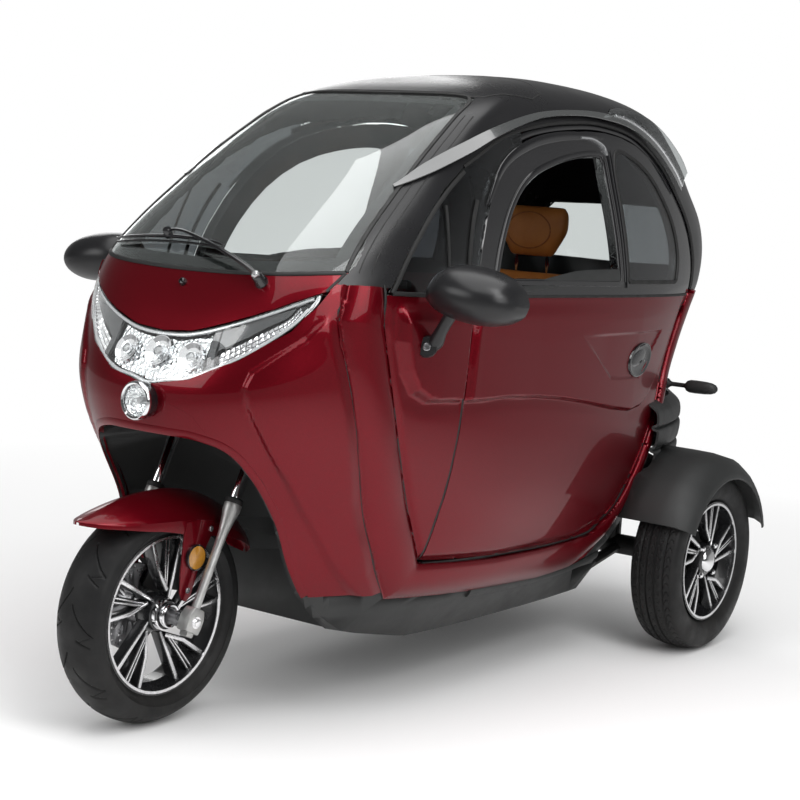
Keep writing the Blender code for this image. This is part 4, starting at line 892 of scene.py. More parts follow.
# %% Modelling helpers
def laid_grid(name, rows, cap=False):
    """A grid primitive whose points are laid out row by row. Ends that meet are merged."""
    rows = np.asarray(rows, float)
    count, across = rows.shape[:2]
    deselect()
    bpy.ops.mesh.primitive_grid_add(x_subdivisions=across - 1, y_subdivisions=count - 1)
    piece = bpy.context.object
    piece.name = name
    piece.data.vertices.foreach_set("co", rows.ravel())
    with editing(piece):
        bpy.ops.mesh.remove_doubles(threshold=0.000002)
        if cap:
            bpy.ops.mesh.select_mode(type="EDGE")
            bpy.ops.mesh.select_all(action="DESELECT")
            bpy.ops.mesh.select_non_manifold()
            bpy.ops.mesh.fill_holes(sides=0)
            bpy.ops.mesh.select_all(action="SELECT")
        bpy.ops.mesh.normals_make_consistent(inside=False)
    return piece


def shade(piece, angle=32):
    active(piece)
    bpy.ops.object.shade_smooth_by_angle(angle=math.radians(angle))
    return piece


def bevelled(piece, width, segments=2, angle=30):
    """Rounds a piece's edges with a modifier, then applies it."""
    active(piece)
    edge = piece.modifiers.new("edge", "BEVEL")
    edge.width = width
    edge.segments = segments
    edge.limit_method = "ANGLE"
    edge.angle_limit = math.radians(angle)
    bpy.ops.object.modifier_apply(modifier=edge.name)
    return piece


def plate(name, outline, thickness, bevel=0.0):
    """A flat outline of points, extruded along a vector."""
    deselect()
    bpy.ops.mesh.primitive_circle_add(vertices=len(outline), radius=1.0, fill_type="NGON")
    piece = bpy.context.object
    piece.name = name
    for vertex, spot in zip(piece.data.vertices, outline):
        vertex.co = spot
    with editing(piece):
        bpy.ops.mesh.extrude_region_move(TRANSFORM_OT_translate={"value": tuple(thickness)})
        bpy.ops.mesh.select_all(action="SELECT")
        bpy.ops.mesh.normals_make_consistent(inside=False)
    if bevel:
        bevelled(piece, bevel)
    return piece


def spun(name, profile, centre, axis=SIDEWAYS, steps=64):
    """A turned shape: a circle's points, laid on a profile of (radius, along), are spun about an axis."""
    deselect()
    bpy.ops.mesh.primitive_circle_add(vertices=len(profile), radius=1.0, fill_type="NOTHING")
    piece = bpy.context.object
    piece.name = name
    along = Vector(axis).normalized()
    outward = along.orthogonal().normalized()
    centre = Vector(centre)
    for vertex, (radius, reach) in zip(piece.data.vertices, profile):
        vertex.co = centre + outward * radius + along * reach
    with editing(piece):
        bpy.ops.mesh.spin(steps=steps, angle=2 * math.pi, center=centre, axis=along)
        bpy.ops.mesh.select_all(action="SELECT")
        bpy.ops.mesh.remove_doubles(threshold=0.00001)
        bpy.ops.mesh.dissolve_degenerate(threshold=0.00001)
        bpy.ops.mesh.select_all(action="SELECT")
        bpy.ops.mesh.normals_make_consistent(inside=False)
    return piece


def scaled(profile, across, along=1.0):
    return [(radius * across, reach * along) for radius, reach in profile]


def eased(p0, p1, p2, p3, t):
    """A place on the smooth curve from p1 to p2 that knows the points before and after."""
    bend = (2 * p0 - 5 * p1 + 4 * p2 - p3) * t * t
    return 0.5 * (2 * p1 + (p2 - p0) * t + bend + (3 * p1 - p0 - 3 * p2 + p3) * t**3)


def spline_through(points, count):
    """Points on a smooth line through the given ones."""
    points = [Vector(p) for p in points]
    padded = [2 * points[0] - points[1], *points, 2 * points[-1] - points[-2]]
    made = []
    for i in range(count):
        at = (len(points) - 1) * i / (count - 1)
        k = min(int(at), len(points) - 2)
        made.append(eased(*padded[k : k + 4], at - k))
    return made


def smooth_outline(points, count):
    """The same for flat (a, b) places."""
    return [(p.x, p.y) for p in spline_through([(a, b, 0.0) for a, b in points], count)]


def way_at(points, i, closed=False):
    """The direction of a line at one of its points."""
    count = len(points)
    if closed:
        return (points[(i + 1) % count] - points[i - 1]).normalized()
    return (points[min(i + 1, count - 1)] - points[max(i - 1, 0)]).normalized()


def one_each(value, count):
    """A list from a list or from one number for all."""
    return [value] * count if isinstance(value, (int, float)) else value


def swept(name, points, radius, sides=16, closed=False, squash=1.0, upright=(0, 0, 1)):
    """A bar through points. The radius may be a list; squash flattens it along upright."""
    points = [Vector(p) for p in points]
    radii = one_each(radius, len(points))
    turns = [2 * math.pi * k / sides for k in range(sides + 1)]
    rows = []
    for i, here in enumerate(points):
        ahead = way_at(points, i, closed)
        across = ahead.cross(Vector(upright)).normalized()
        over = across.cross(ahead).normalized()
        rows.append(
            [tuple(here + radii[i] * (across * math.cos(a) + over * math.sin(a) * squash)) for a in turns]
        )
    if closed:
        rows.append(rows[0])
    return laid_grid(name, rows, cap=not closed)


def ribbon(name, spots, normals, half_width, rise, sink=0.002, closed=False):
    """A strip with a rounded back that lies along points of a surface. Its foot sinks into the surface."""
    back = [(-1, 0.35), (-0.72, 0.85), (0, 1.0), (0.72, 0.85), (1, 0.35)]
    profile = [(-1, -sink)] + scaled(back, 1, rise) + [(1, -sink), (-1, -sink)]
    widths = one_each(half_width, len(spots))
    rows = []
    for i, (spot, normal) in enumerate(zip(spots, normals)):
        across = way_at(spots, i, closed).cross(normal).normalized()
        rows.append([tuple(spot + across * a * widths[i] + normal * b) for a, b in profile])
    if closed:
        rows.append(rows[0])
    return laid_grid(name, rows, cap=not closed)


def laid_ribbon(name, line, skin, half_width, rise, sink=0.002, closed=False, lift=0.0):
    """A ribbon along flat places, lifted off the skin or let into it."""
    found = [skin(a, b) for a, b in line]
    spots = [spot + normal * lift for spot, normal in found]
    return ribbon(name, spots, [normal for _, normal in found], half_width, rise, sink, closed)


def copied(piece, name, matrix):
    """A copy with its own mesh, moved by a matrix."""
    twin = piece.copy()
    twin.data = piece.data.copy()
    twin.name = name
    twin.parent = None
    bpy.context.scene.collection.objects.link(twin)
    twin.data.transform(matrix)
    if matrix.determinant() < 0:
        twin.data.flip_normals()
    return twin


def merged(name, pieces):
    """Several loose pieces as one object."""
    deselect()
    for piece in pieces:
        piece.select_set(True)
    bpy.context.view_layer.objects.active = pieces[0]
    bpy.ops.object.join()
    pieces[0].name = name
    pieces[0].data.name = name
    return pieces[0]


def finished(name, made, material, angle=40, body="vehicle", stands_for=()):
    """Joins a list of parts, shades the piece smooth up to an angle and dresses it."""
    piece = merged(name, made) if isinstance(made, list) else made
    return dressed(shade(piece, angle), name, body, material, stands_for)


def both_sides(made, name, bodies, material, angle=40, stands_for=()):
    """Finishes a left-hand piece, or a list of its parts, and its mirrored twin."""
    piece = shade(merged(name, made) if isinstance(made, list) else made, angle)
    twin = copied(piece, name + "_right", MIRROR_X)
    for word, one in (("left", piece), ("right", twin)):
        dressed(one, f"{name}_{word}", bodies[word], material, tuple(node + word for node in stands_for))


MIRROR_X = Matrix.Diagonal((-1, 1, 1, 1))
print("helpers are ready")

# %% [markdown]
# A tyre starts as a cross-section carried round the wheel on a fine grid. The tread is cut by moving
# points inwards where a groove runs. Real moulds work the same way: they press the grooves into a
# smooth band. Grooves could be cut with Booleans, but hundreds of cutters would be slow and fragile.


# %% Tyres
def tyre_section(bead, radius, width, crown, tread_rows):
    """(radius, across) points round a closed tyre section, the outside first, then back along the inside."""
    half = width / 2
    shoulder = radius - crown
    wall = [
        (bead - 0.004, half * 0.6), (bead + 0.002, half * 0.7), (bead + 0.006, half * 0.76),
        (bead + 0.007, half * 0.8),
        (bead + 0.011, half * 0.86), (bead + 0.02, half * 0.945),
        (bead * 0.55 + shoulder * 0.45, half * 1.0),
        (bead * 0.25 + shoulder * 0.75, half * 0.985), (shoulder - 0.004, half * 0.93),
    ]
    tread = []
    for x in np.linspace(half * 0.86, -half * 0.86, tread_rows):
        share = abs(x) / (half * 0.86)
        tread.append((radius - crown * share**2.3, x))
    inner = [
        (bead - 0.004, -half * 0.56), (radius - 0.03, -half * 0.8), (radius - 0.022, 0.0),
        (radius - 0.03, half * 0.8), (bead - 0.004, half * 0.56),
    ]
    return np.array(wall + tread + [(r, -x) for r, x in reversed(wall)] + inner + wall[:1])


def make_tyre(name, centre, bead, radius, width, crown, groove, steps, tread_rows, body, node):
    """Lays the section round the wheel and sinks the grooves, whose depth a function gives."""
    section = tyre_section(bead, radius, width, crown, tread_rows)
    turns = np.linspace(0.0, 2 * math.pi, steps + 1)
    reach = np.tile(section[:, 0], (steps + 1, 1))
    across = np.tile(section[:, 1], (steps + 1, 1))
    on_tread = section[:, 0] > radius - crown - 0.006
    on_tread[-7:] = False
    depth = groove(turns[:, None], across)
    reach = reach - depth * on_tread[None, :]
    rows = np.stack(
        (
            centre[0] + across,
            centre[1] + reach * np.cos(turns)[:, None],
            centre[2] + reach * np.sin(turns)[:, None],
        ),
        2,
    )
    rows[-1] = rows[0]
    tyre = laid_grid(name, rows)
    shade(tyre, 50)
    return dressed(tyre, name, body, RUBBER, (node,))


def soft_step(distance, half_width, edge):
    """1 inside a groove, 0 outside, with sloping sides."""
    return np.clip((half_width + edge - distance) / edge, 0.0, 1.0)


def nearest_groove(turn, pitch, radius):
    """How far, in mm along the tread, a place is from the nearest of evenly spaced grooves."""
    phase = turn % pitch
    return np.minimum(phase, pitch - phase) * radius * 1000.0


SWEPT_GROOVES = (
    # lean, start, half width, sloping edge, nearest and furthest reach from the middle, depth: in mm
    (-1.0, 0.0, 1.9, 1.3, 5.0, 53.0, 4.2),
    (-0.55, 1.05, 1.5, 1.2, 20.0, 47.0, 3.6),
    (0.4, 0.3, 0.9, 1.0, 30.0, 52.0, 2.0),
)
STRAIGHT_GROOVES = (-34.0, -12.0, 12.0, 34.0)
SIPES = (
    # from, to, lean, half width: in mm
    (-54.0, -38.0, 0.1, 1.1), (-30.0, -16.0, -0.14, 0.9), (-7.0, 7.0, 0.12, 0.8), (16.0, 30.0, -0.14, 0.9),
    (38.0, 54.0, 0.1, 1.1),
)


def swept_grooves(turn, across):
    """The front tyre: long grooves that sweep back from the middle, with short ones between."""
    pitch = 2 * math.pi / 22
    depth = np.zeros(np.broadcast(turn, across).shape)
    for side, shift in ((1, 0.0), (-1, 0.5)):
        x = np.clip(across * side, 0.0, None) * 1000.0
        sweep = 0.95 * (x / 56.0) ** 0.62 * pitch * 1.35
        for lean, start, half_width, edge, near, far, deep in SWEPT_GROOVES:
            apart = nearest_groove(turn + lean * sweep + (shift + start) * pitch, 2 * pitch, FRONT_TYRE_R)
            cut = soft_step(apart, half_width, edge) * (x > near) * (x < far)
            depth = np.maximum(depth, cut * deep / 1000)
    return depth


def road_grooves(turn, across):
    """The rear tyres: four straight grooves with wavy sipes between them."""
    x = across * 1000.0
    depth = np.zeros(np.broadcast(turn, across).shape)
    for line in STRAIGHT_GROOVES:
        depth = np.maximum(depth, soft_step(np.abs(x - line), 2.2, 1.4) * 0.005)
    for low, high, lean, half_width in SIPES:
        wave = turn + lean * np.sin((x - low) / (high - low) * math.pi) * 0.6
        apart = nearest_groove(wave, 2 * math.pi / 64, REAR_TYRE_R)
        depth = np.maximum(depth, soft_step(apart, half_width, 1.0) * (x > low) * (x < high) * 0.003)
    return depth


make_tyre(
    "front_tyre_tread", FRONT_HUB, 0.176, FRONT_TYRE_R, 0.126, 0.02, swept_grooves, 900, 61, "front_wheel",
    "front_tyre"
)
for word, side in SIDES:
    make_tyre(
        "rear_tyre_tread_" + word, REAR_HUBS[word], 0.163, REAR_TYRE_R, 0.135, 0.01, road_grooves, 720, 61,
        "rear_wheel_" + word,
        "rear_tyre_" + word,
    )
print("tyres are cut")

# %% [markdown]
# The wheels are cast alloy, painted black and then machined bright on their front faces. Each has five
# groups of spokes: a straight bar, a bent bar, and a narrow double rib between them. A bar is drawn as
# a flat outline, extruded for the black casting, and drawn again a little narrower for the bright face.


# %% Alloy wheels
def bar_outline(line, width):
    """The outline of a bar of some width along a bent line in the wheel's plane."""
    line = [Vector(p) for p in line]
    left, right_hand = [], []
    for i, here in enumerate(line):
        ahead = way_at(line, i)
        across = Vector((-ahead.y, ahead.x)) * width[i] / 2
        left.append(here + across)
        right_hand.append(here - across)
    return left + right_hand[::-1]


def polar(radius, degrees):
    return (radius * math.cos(math.radians(degrees)), radius * math.sin(math.radians(degrees)))


def spoke_lines(rim_r, hub_r):
    """The bars of one group: (points, widths), for a group that points along the first axis."""
    reach = rim_r + 0.004
    return (
        ([polar(hub_r, -33), polar(reach, -15)], [0.006, 0.0095]),
        ([polar(hub_r + 0.012, -16), polar(rim_r * 0.6, 11), polar(reach, 15.5)], [0.008, 0.0085, 0.008]),
        ([polar(hub_r + 0.022, -10), polar(reach, -1.7)], [0.0032, 0.0032]),
        ([polar(hub_r + 0.022, -5), polar(reach, 1.7)], [0.0032, 0.0032]),
    )


def make_wheel(name, hub, side, rim_r, half, face, hub_r, body, node, first_turn):
    """Barrel, lip, hub and spokes of one wheel. The face is the spokes' distance from its middle."""
    black, bright = [], []
    seat = rim_r - 0.0003
    barrel = [
        (seat - 0.007, -half), (seat - 0.02, -half * 0.6), (seat - 0.022, half * 0.3),
        (seat - 0.01, half * 0.7),
        (seat - 0.0075, half), (seat + 0.001, half + 0.001), (seat + 0.001, half - 0.004),
        (seat - 0.003, half - 0.01),
        (seat - 0.003, -half + 0.01), (seat + 0.001, -half + 0.004), (seat + 0.001, -half),
    ]
    black.append(spun(name + "_barrel", [(r, side * x) for r, x in barrel], hub, steps=120))
    lip = [
        (seat - 0.0085, half - 0.001), (seat - 0.0088, half + 0.0015), (seat - 0.003, half + 0.0022),
        (seat - 0.003, half - 0.001),
    ]
    bright.append(spun(name + "_lip", [(r, side * x) for r, x in lip], hub, steps=120))
    centre = [
        (0.01, face - 0.045), (hub_r, face - 0.045), (hub_r + 0.004, face - 0.022),
        (hub_r - 0.002, face - 0.004),
        (hub_r - 0.01, face), (0.01, face + 0.001),
    ]
    black.append(spun(name + "_centre", [(r, side * x) for r, x in centre], hub, steps=60))
    # Each layer: its pieces, how much wider than the bar, from and to across the wheel, rounded edge.
    layers = ((black, 0.0045, -0.026, 0.0, 0.0015), (bright, 0.0, -0.002, 0.0012, 0.0004))
    for group in range(5):
        spin = Matrix.Rotation(math.radians(first_turn + 72 * group), 2)
        for line, width in spoke_lines(seat - 0.01, hub_r):
            for made, wider, low, high, edge in layers:
                spots = []
                for p in bar_outline(line, [w + wider for w in width]):
                    dish = face - 0.01 * max(0.0, 1 - p.length / (rim_r * 0.75))
                    turned = spin @ p
                    spots.append(hub + Vector((side * (dish + low), turned.x, turned.y)))
                made.append(plate("wheel_bar", spots, (side * (high - low), 0, 0), edge))
    finished(name + "_casting", black, ALLOY, 30, body, (node,))
    finished(name + "_bright_faces", bright, MACHINED, 30, body)


make_wheel("front_wheel", FRONT_HUB, 1, 0.176, 0.044, 0.036, 0.04, "front_wheel", "front_rim", -55)
for word, side in SIDES:
    make_wheel(
        "rear_wheel_" + word, REAR_HUBS[word], side, 0.163, 0.055, 0.048, 0.044, "rear_wheel_" + word,
        "rear_rim_" + word, 18
    )
print("wheels are made")

# %% [markdown]
# The headlamp is one clear moulding that wraps round the nose. Behind it sit a black tub, three
# facetted bowls in the middle, and on each side a smoked panel over a strip of crystal prisms.
# Each part is drawn flat as seen from ahead, then laid on the body's skin at its own depth.


# %% Patches that follow the skin
def mirrored_line(points):
    """A line from its right half, given from the middle outwards: left end to right end."""
    return [(-x, z) for x, z in reversed(points) if x > 0] + list(points)


def patch(name, outline, place, wall, longest=0.012):
    """A sheet with a flat outline, laid out by a map and given a wall that goes inwards."""
    deselect()
    bpy.ops.mesh.primitive_circle_add(vertices=len(outline), radius=1.0, fill_type="NGON")
    piece = bpy.context.object
    piece.name = name
    for vertex, (a, b) in zip(piece.data.vertices, outline):
        vertex.co = (a, b, 0.0)
    with editing(piece):
        bpy.ops.mesh.quads_convert_to_tris(quad_method="BEAUTY", ngon_method="BEAUTY")
    shorten_edges(piece, longest)
    for vertex in piece.data.vertices:
        vertex.co = place(vertex.co.x, vertex.co.y)
    face_out(piece)
    thicken(piece, wall)
    return piece


def face_out(piece):
    """Turns a sheet's faces away from the middle of the vehicle."""
    with editing(piece):
        bpy.ops.mesh.normals_make_consistent(inside=False)
    if sum(face.area * face.normal.dot(on_skin(face.center)[1]) for face in piece.data.polygons) < 0:
        with editing(piece):
            bpy.ops.mesh.flip_normals()


def thicken(piece, wall, offset=-1.0):
    active(piece)
    solid = piece.modifiers.new("wall", "SOLIDIFY")
    solid.thickness = wall
    solid.offset = offset
    bpy.ops.object.modifier_apply(modifier=solid.name)


def strip(name, places, half_width, rise, sink=0.002, count=60, place=side_skin):
    """A moulding on the skin along a smooth line of (a, b) places."""
    return laid_ribbon(name, smooth_outline(places, count), place, half_width, rise, sink)


# %% The headlamp's lines
LAMP_TOP = ((0.0, 0.856), (0.08, 0.862), (0.16, 0.884), (0.25, 0.92), (0.329, 0.962))
LAMP_BOTTOM = (
    (0.0, 0.742), (0.05, 0.752), (0.115, 0.764), (0.21, 0.812), (0.29, 0.88), (0.321, 0.93),
)
lamp_top = smooth_outline(mirrored_line(LAMP_TOP), 61)
lamp_bottom = smooth_outline(mirrored_line(LAMP_BOTTOM), 61)
lamp_edge = lamp_top + lamp_bottom[::-1]


def shrunk(outline, distance):
    """An outline moved inwards."""
    made = []
    count = len(outline)
    turn = sum(outline[i - 1][0] * p[1] - p[0] * outline[i - 1][1] for i, p in enumerate(outline))
    for i, here in enumerate(outline):
        ahead = Vector(outline[(i + 1) % count]) - Vector(outline[i - 1])
        across = Vector((-ahead.y, ahead.x)).normalized() * (distance if turn > 0 else -distance)
        made.append(tuple(Vector(here) + across))
    return made


# %% Lamp finishes
CRYSTAL = finish("crystal reflector", (0.82, 0.84, 0.85), 0.08, shine=(0.04, 0.14, 60.0), Metallic=1.0)
prisms = pattern(CRYSTAL.node_tree, "TexVoronoi", Scale=120.0)
bumped(CRYSTAL.node_tree, prisms["Distance"], 0.55, 0.004)
SMOKED = finish(
    "smoked lamp panel", (0.055, 0.058, 0.062), 0.16, shine=(0.1, 0.24, 14.0), Coat_Weight=0.8,
    Coat_Roughness=0.03
)
SILVER = finish("silver trim", (0.62, 0.63, 0.64), 0.24, shine=(0.18, 0.3, 20.0), Metallic=0.85)
BULB = finish(
    "lamp bulb glass", (0.92, 0.93, 0.94), 0.06, shine=(0.03, 0.1, 40.0), Transmission_Weight=0.5,
    Specular_IOR_Level=0.8
)

# %% Headlamp
cover = patch("headlamp_cover", shrunk(lamp_edge, 0.001), lifted(front_skin, 0.0), 0.0022, 0.016)
finished("headlamp_cover", cover, LENS, 40, "vehicle", ("headlamp",))
tub = patch("headlamp_tub", shrunk(lamp_edge, 0.0016), lifted(front_skin, -0.0188), 0.0012, 0.016)
rim_rows = []
edge = shrunk(lamp_edge, 0.0014)
for depth in (-0.0026, -0.0095, -0.0198):
    place = lifted(front_skin, depth)
    rim_rows.append([tuple(place(x, z)) for x, z in edge + edge[:1]])
rim = laid_grid("headlamp_rim", rim_rows)
thicken(rim, 0.0012)
finished("headlamp_tub", [tub, rim], GLOSS)

trim = []
for name, line, inset in (("top", lamp_top, -0.0052), ("bottom", lamp_bottom, 0.0056)):
    inner_line = [(x * 0.993, z + inset) for x, z in line[1:-1]]
    trim.append(laid_ribbon("bezel_" + name, inner_line, front_skin, 0.0042, 0.0018, 0.003, lift=-0.0048))
for side in (1, -1):
    ends = [
        front_skin(side * x, z)
        for x, z in ((0.3235, 0.957), (0.3225, 0.944), (0.316, 0.926), (0.309, 0.912))
    ]
    spots = spline_through([spot - normal * 0.0048 for spot, normal in ends], 12)
    trim.append(ribbon("bezel_end", spots, [ends[0][1]] * 12, 0.0042, 0.0018, 0.003))
finished("headlamp_bezel", trim, SILVER, 50)

centre_top = [(x, z - 0.0125) for x, z in lamp_top if abs(x) < 0.131]
centre_bottom = [(x, z + 0.0125) for x, z in lamp_bottom if abs(x) < 0.141]
centre = patch(
    "headlamp_reflector", centre_top + centre_bottom[::-1], lifted(front_skin, -0.015), 0.0012, 0.014
)
finished("headlamp_reflector", centre, CRYSTAL)


def bowl(name, x, z, radius, lift):
    """A facetted dish that faces straight out of the skin, and the ring and bulb in it."""
    spot, normal = front_skin(x, z)
    centre = spot + normal * lift
    profile = [
        (0.1, -0.34), (0.42, -0.3), (0.72, -0.18), (1.0, 0.0), (1.04, 0.0), (0.74, -0.21), (0.42, -0.33),
        (0.1, -0.37),
    ]
    dish = spun(name, [(radius * r, radius * along) for r, along in profile], centre, normal, 20)
    ring = [(0.3, -0.24), (0.3, 0.02), (0.36, 0.04), (0.38, 0.0), (0.36, -0.24)]
    collar = spun(name + "_collar", [(radius * r, radius * along) for r, along in ring], centre, normal, 32)
    glass_ball = [(0.0, -0.2), (0.0, 0.1), (0.12, 0.085), (0.22, 0.04), (0.28, -0.05), (0.28, -0.2)]
    ball = spun(
        name + "_bulb", [(radius * r, radius * along) for r, along in glass_ball], centre, normal, 32
    )
    return dish, collar, ball


dishes, collars, balls = [], [], []
for i, (x, z, radius) in enumerate(((0.0, 0.816, 0.034), (0.094, 0.812, 0.031), (-0.094, 0.812, 0.031))):
    dish, collar, ball = bowl(f"bowl_{i}", x, z, radius, -0.0062)
    dishes.append(dish)
    collars.append(collar)
    balls.append(shade(ball, 40))
bowls = merged("headlamp_bowls", dishes)
finished("headlamp_bowls", bowls, CHROME, 5)
finished("headlamp_collars", collars, SILVER, 30)
dressed(merged("headlamp_bulbs", balls), "headlamp_bulbs", "vehicle", BULB)

# %% The wings of the headlamp
dark, streaks, prisms = [], [], []
for side in (1, -1):
    divider = [
        (0.1355, 0.868), (0.15, 0.873), (0.153, 0.825), (0.162, 0.786), (0.148, 0.779),
        (0.137, 0.82),
    ]
    dark.append(
        patch("lamp_divider", [(side * x, z) for x, z in divider], lifted(front_skin, -0.006), 0.008, 0.02)
    )
    smoke = [
        (0.153, 0.872), (0.2, 0.891), (0.25, 0.91), (0.292, 0.929), (0.287, 0.915), (0.279, 0.906),
        (0.248, 0.886), (0.215, 0.863), (0.18, 0.844), (0.156, 0.83),
    ]
    dark.append(
        patch("lamp_smoke", [(side * x, z) for x, z in smoke], lifted(front_skin, -0.0085), 0.004, 0.02)
    )
    streak = [
        (0.153, 0.874), (0.2, 0.8935), (0.25, 0.913), (0.296, 0.934), (0.315, 0.946), (0.316, 0.9485),
        (0.25, 0.9145),
        (0.2, 0.8965), (0.153, 0.877),
    ]
    streaks.append(
        patch("lamp_streak", [(side * x, z) for x, z in streak], lifted(front_skin, -0.008), 0.003, 0.02)
    )
    low_line = smooth_outline(
        ((0.168, 0.796), (0.212, 0.822), (0.262, 0.858), (0.292, 0.888), (0.308, 0.918)), 40
    )
    high_line = smooth_outline(
        ((0.16, 0.824), (0.206, 0.852), (0.25, 0.881), (0.284, 0.906), (0.3, 0.936)), 40
    )
    for row in range(3):
        for column in range(18):
            corners = []
            for du, dv in ((0.06, 0.06), (0.94, 0.06), (0.94, 0.94), (0.06, 0.94)):
                at = (column + du) / 18 * 39
                i = min(int(at), 38)
                low = Vector(low_line[i]).lerp(Vector(low_line[i + 1]), at - i)
                high = Vector(high_line[i]).lerp(Vector(high_line[i + 1]), at - i)
                corners.append(low.lerp(high, (row + dv) / 3))
            middle = sum(corners, Vector((0, 0))) / 4
            base = [lifted(front_skin, -0.012)(side * p.x, p.y) for p in corners]
            spot, normal = front_skin(side * middle.x, middle.y)
            jog = 0.0012 * math.sin(7.3 * column + 2.1 * row)
            crown = spot + normal * (-0.0072 + jog)
            cone = plate("prism", base, (0, 0, 0.0))
            for vertex in cone.data.vertices[4:]:
                vertex.co = crown.lerp(vertex.co, 0.22)
            prisms.append(cone)
merged_dark = merged("headlamp_smoked_panels", dark)
finished("headlamp_smoked_panels", merged_dark, SMOKED)
finished("headlamp_streaks", streaks, SILVER)
strip_of_prisms = merged("headlamp_prisms", prisms)
with editing(strip_of_prisms):
    bpy.ops.mesh.normals_make_consistent(inside=False)
dressed(strip_of_prisms, "headlamp_prisms", "vehicle", CHROME)
print("headlamp:", len(prisms), "prisms in the wings")

# %% [markdown]
# The round lamp on the chin is a small bowl lamp: a black housing, a chrome ring, a facetted dish with
# a bulb, and a domed lens. All five are turned about the same line, so each is a profile and a spin.

# %% Round lamp
ROUND_LAMP = Vector((0.0, -0.962, 0.708))
shell = [
    (0.004, -0.004), (0.036, -0.004), (0.04, 0.006), (0.041, 0.02), (0.0405, 0.028), (0.034, 0.028),
    (0.033, 0.012),
    (0.018, 0.004), (0.004, 0.002),
]
housing = spun("round_lamp_housing", shell, ROUND_LAMP, FORWARD, 64)
finished("round_lamp_housing", housing, GLOSS, 35, "vehicle", ("round_lamp",))
ring = [
    (0.0345, 0.026), (0.041, 0.026), (0.042, 0.03), (0.0408, 0.0352), (0.0378, 0.0372),
    (0.0345, 0.0345),
]
finished("round_lamp_ring", spun("round_lamp_ring", ring, ROUND_LAMP, FORWARD, 72), CHROME, 50)
dish = [
    (0.004, 0.006), (0.015, 0.0085), (0.026, 0.015), (0.0338, 0.026), (0.0338, 0.0245), (0.026, 0.0132),
    (0.015, 0.0067), (0.004, 0.0042),
]
finished("round_lamp_dish", spun("round_lamp_dish", dish, ROUND_LAMP, FORWARD, 18), CRYSTAL, 5)
ball = [(0.0, 0.006), (0.0, 0.0235), (0.004, 0.0225), (0.0075, 0.019), (0.0085, 0.014), (0.0085, 0.006)]
finished("round_lamp_bulb", spun("round_lamp_bulb", ball, ROUND_LAMP, FORWARD, 32), BULB)
dome = [
    (0.0, 0.0376), (0.013, 0.037), (0.025, 0.035), (0.0345, 0.031), (0.0345, 0.029), (0.025, 0.0328),
    (0.013, 0.0348), (0.0, 0.0354),
]
finished("round_lamp_lens", spun("round_lamp_lens", dome, ROUND_LAMP, FORWARD, 64), LENS)
print("round lamp is made")

# %% [markdown]
# The front fender is a pressed blade with a crease along each side. Below the crease a flange turns
# down, and a plate runs from it to each fork foot. Its sections are laid out from nose to tail.

# %% Front fender
FENDER_STATIONS = (
    # y, half width, crease height, flange height, middle height
    (-1.145, 0.006, 0.464, 0.458, 0.467), (-1.128, 0.028, 0.463, 0.455, 0.471),
    (-1.105, 0.045, 0.462, 0.452, 0.478),
    (-1.07, 0.062, 0.461, 0.449, 0.488), (-1.02, 0.076, 0.46, 0.443, 0.5),
    (-0.96, 0.084, 0.459, 0.436, 0.509),
    (-0.9, 0.087, 0.457, 0.424, 0.512), (-0.84, 0.087, 0.448, 0.416, 0.506),
    (-0.78, 0.084, 0.432, 0.406, 0.491),
    (-0.72, 0.074, 0.408, 0.39, 0.464), (-0.67, 0.056, 0.382, 0.37, 0.428),
    (-0.635, 0.033, 0.358, 0.352, 0.386),
    (-0.612, 0.006, 0.341, 0.338, 0.348),
)


def along_stations(stations, count):
    """Smoothly blended stations, each a row of values."""
    rows = np.array(stations)
    last = len(rows) - 1
    made = []
    for t in np.linspace(0, last, count):
        i = min(int(t), last - 1)
        made.append(eased(rows[max(i - 1, 0)], rows[i], rows[i + 1], rows[min(i + 2, last)], t - i))
    return made


rows = []
for y, half, crease, flange, middle in along_stations(FENDER_STATIONS, 90):
    row = [
        (-half * 1.01, y, flange), (-half * 1.012, y, (flange + crease) / 2 - 0.001),
        (-half, y, crease - 0.0015), (-half * 0.985, y, crease)
    ]
    for s in np.linspace(-0.95, 0.95, 27):
        row.append((half * s, y, middle - (middle - crease) * (0.35 * abs(s) + 0.65 * abs(s) ** 2.6)))
    row += [(-x, y, z) for x, y, z in reversed(row[:4])]
    rows.append(row)
blade = laid_grid("front_fender_blade", rows)
if sum(face.normal.z * face.area for face in blade.data.polygons) < 0:
    with editing(blade):
        bpy.ops.mesh.flip_normals()
thicken(blade, 0.0035)
shade(blade, 28)
PLATE_LINE = (
    (-0.916, 0.428), (-0.9215, 0.34), (-0.921, 0.3), (-0.913, 0.283), (-0.9, 0.278), (-0.886, 0.29),
    (-0.868, 0.342), (-0.845, 0.392), (-0.824, 0.424), (-0.827, 0.448), (-0.87, 0.455), (-0.91, 0.452),
)
plates = []
for side in (1, -1):
    outline = [(side * 0.085, y, z) for y, z in PLATE_LINE]
    plates.append(plate("fender_plate", outline, (side * 0.0042, 0, 0), 0.0012))
fender = merged("front_fender_blade", [blade] + plates)
finished("front_fender_blade", fender, RED, 28, "steering", ("front_fender",))


def screw(name, place, axis, radius, height):
    """A round head with a six-sided socket."""
    head = [(0.42, 0.35), (0.42, 0.85), (0.8, 0.95), (1.0, 0.7), (1.0, 0.0), (0.05, 0.0), (0.05, 0.35)]
    return spun(name, [(radius * r, height * along) for r, along in head], place, axis, 24)


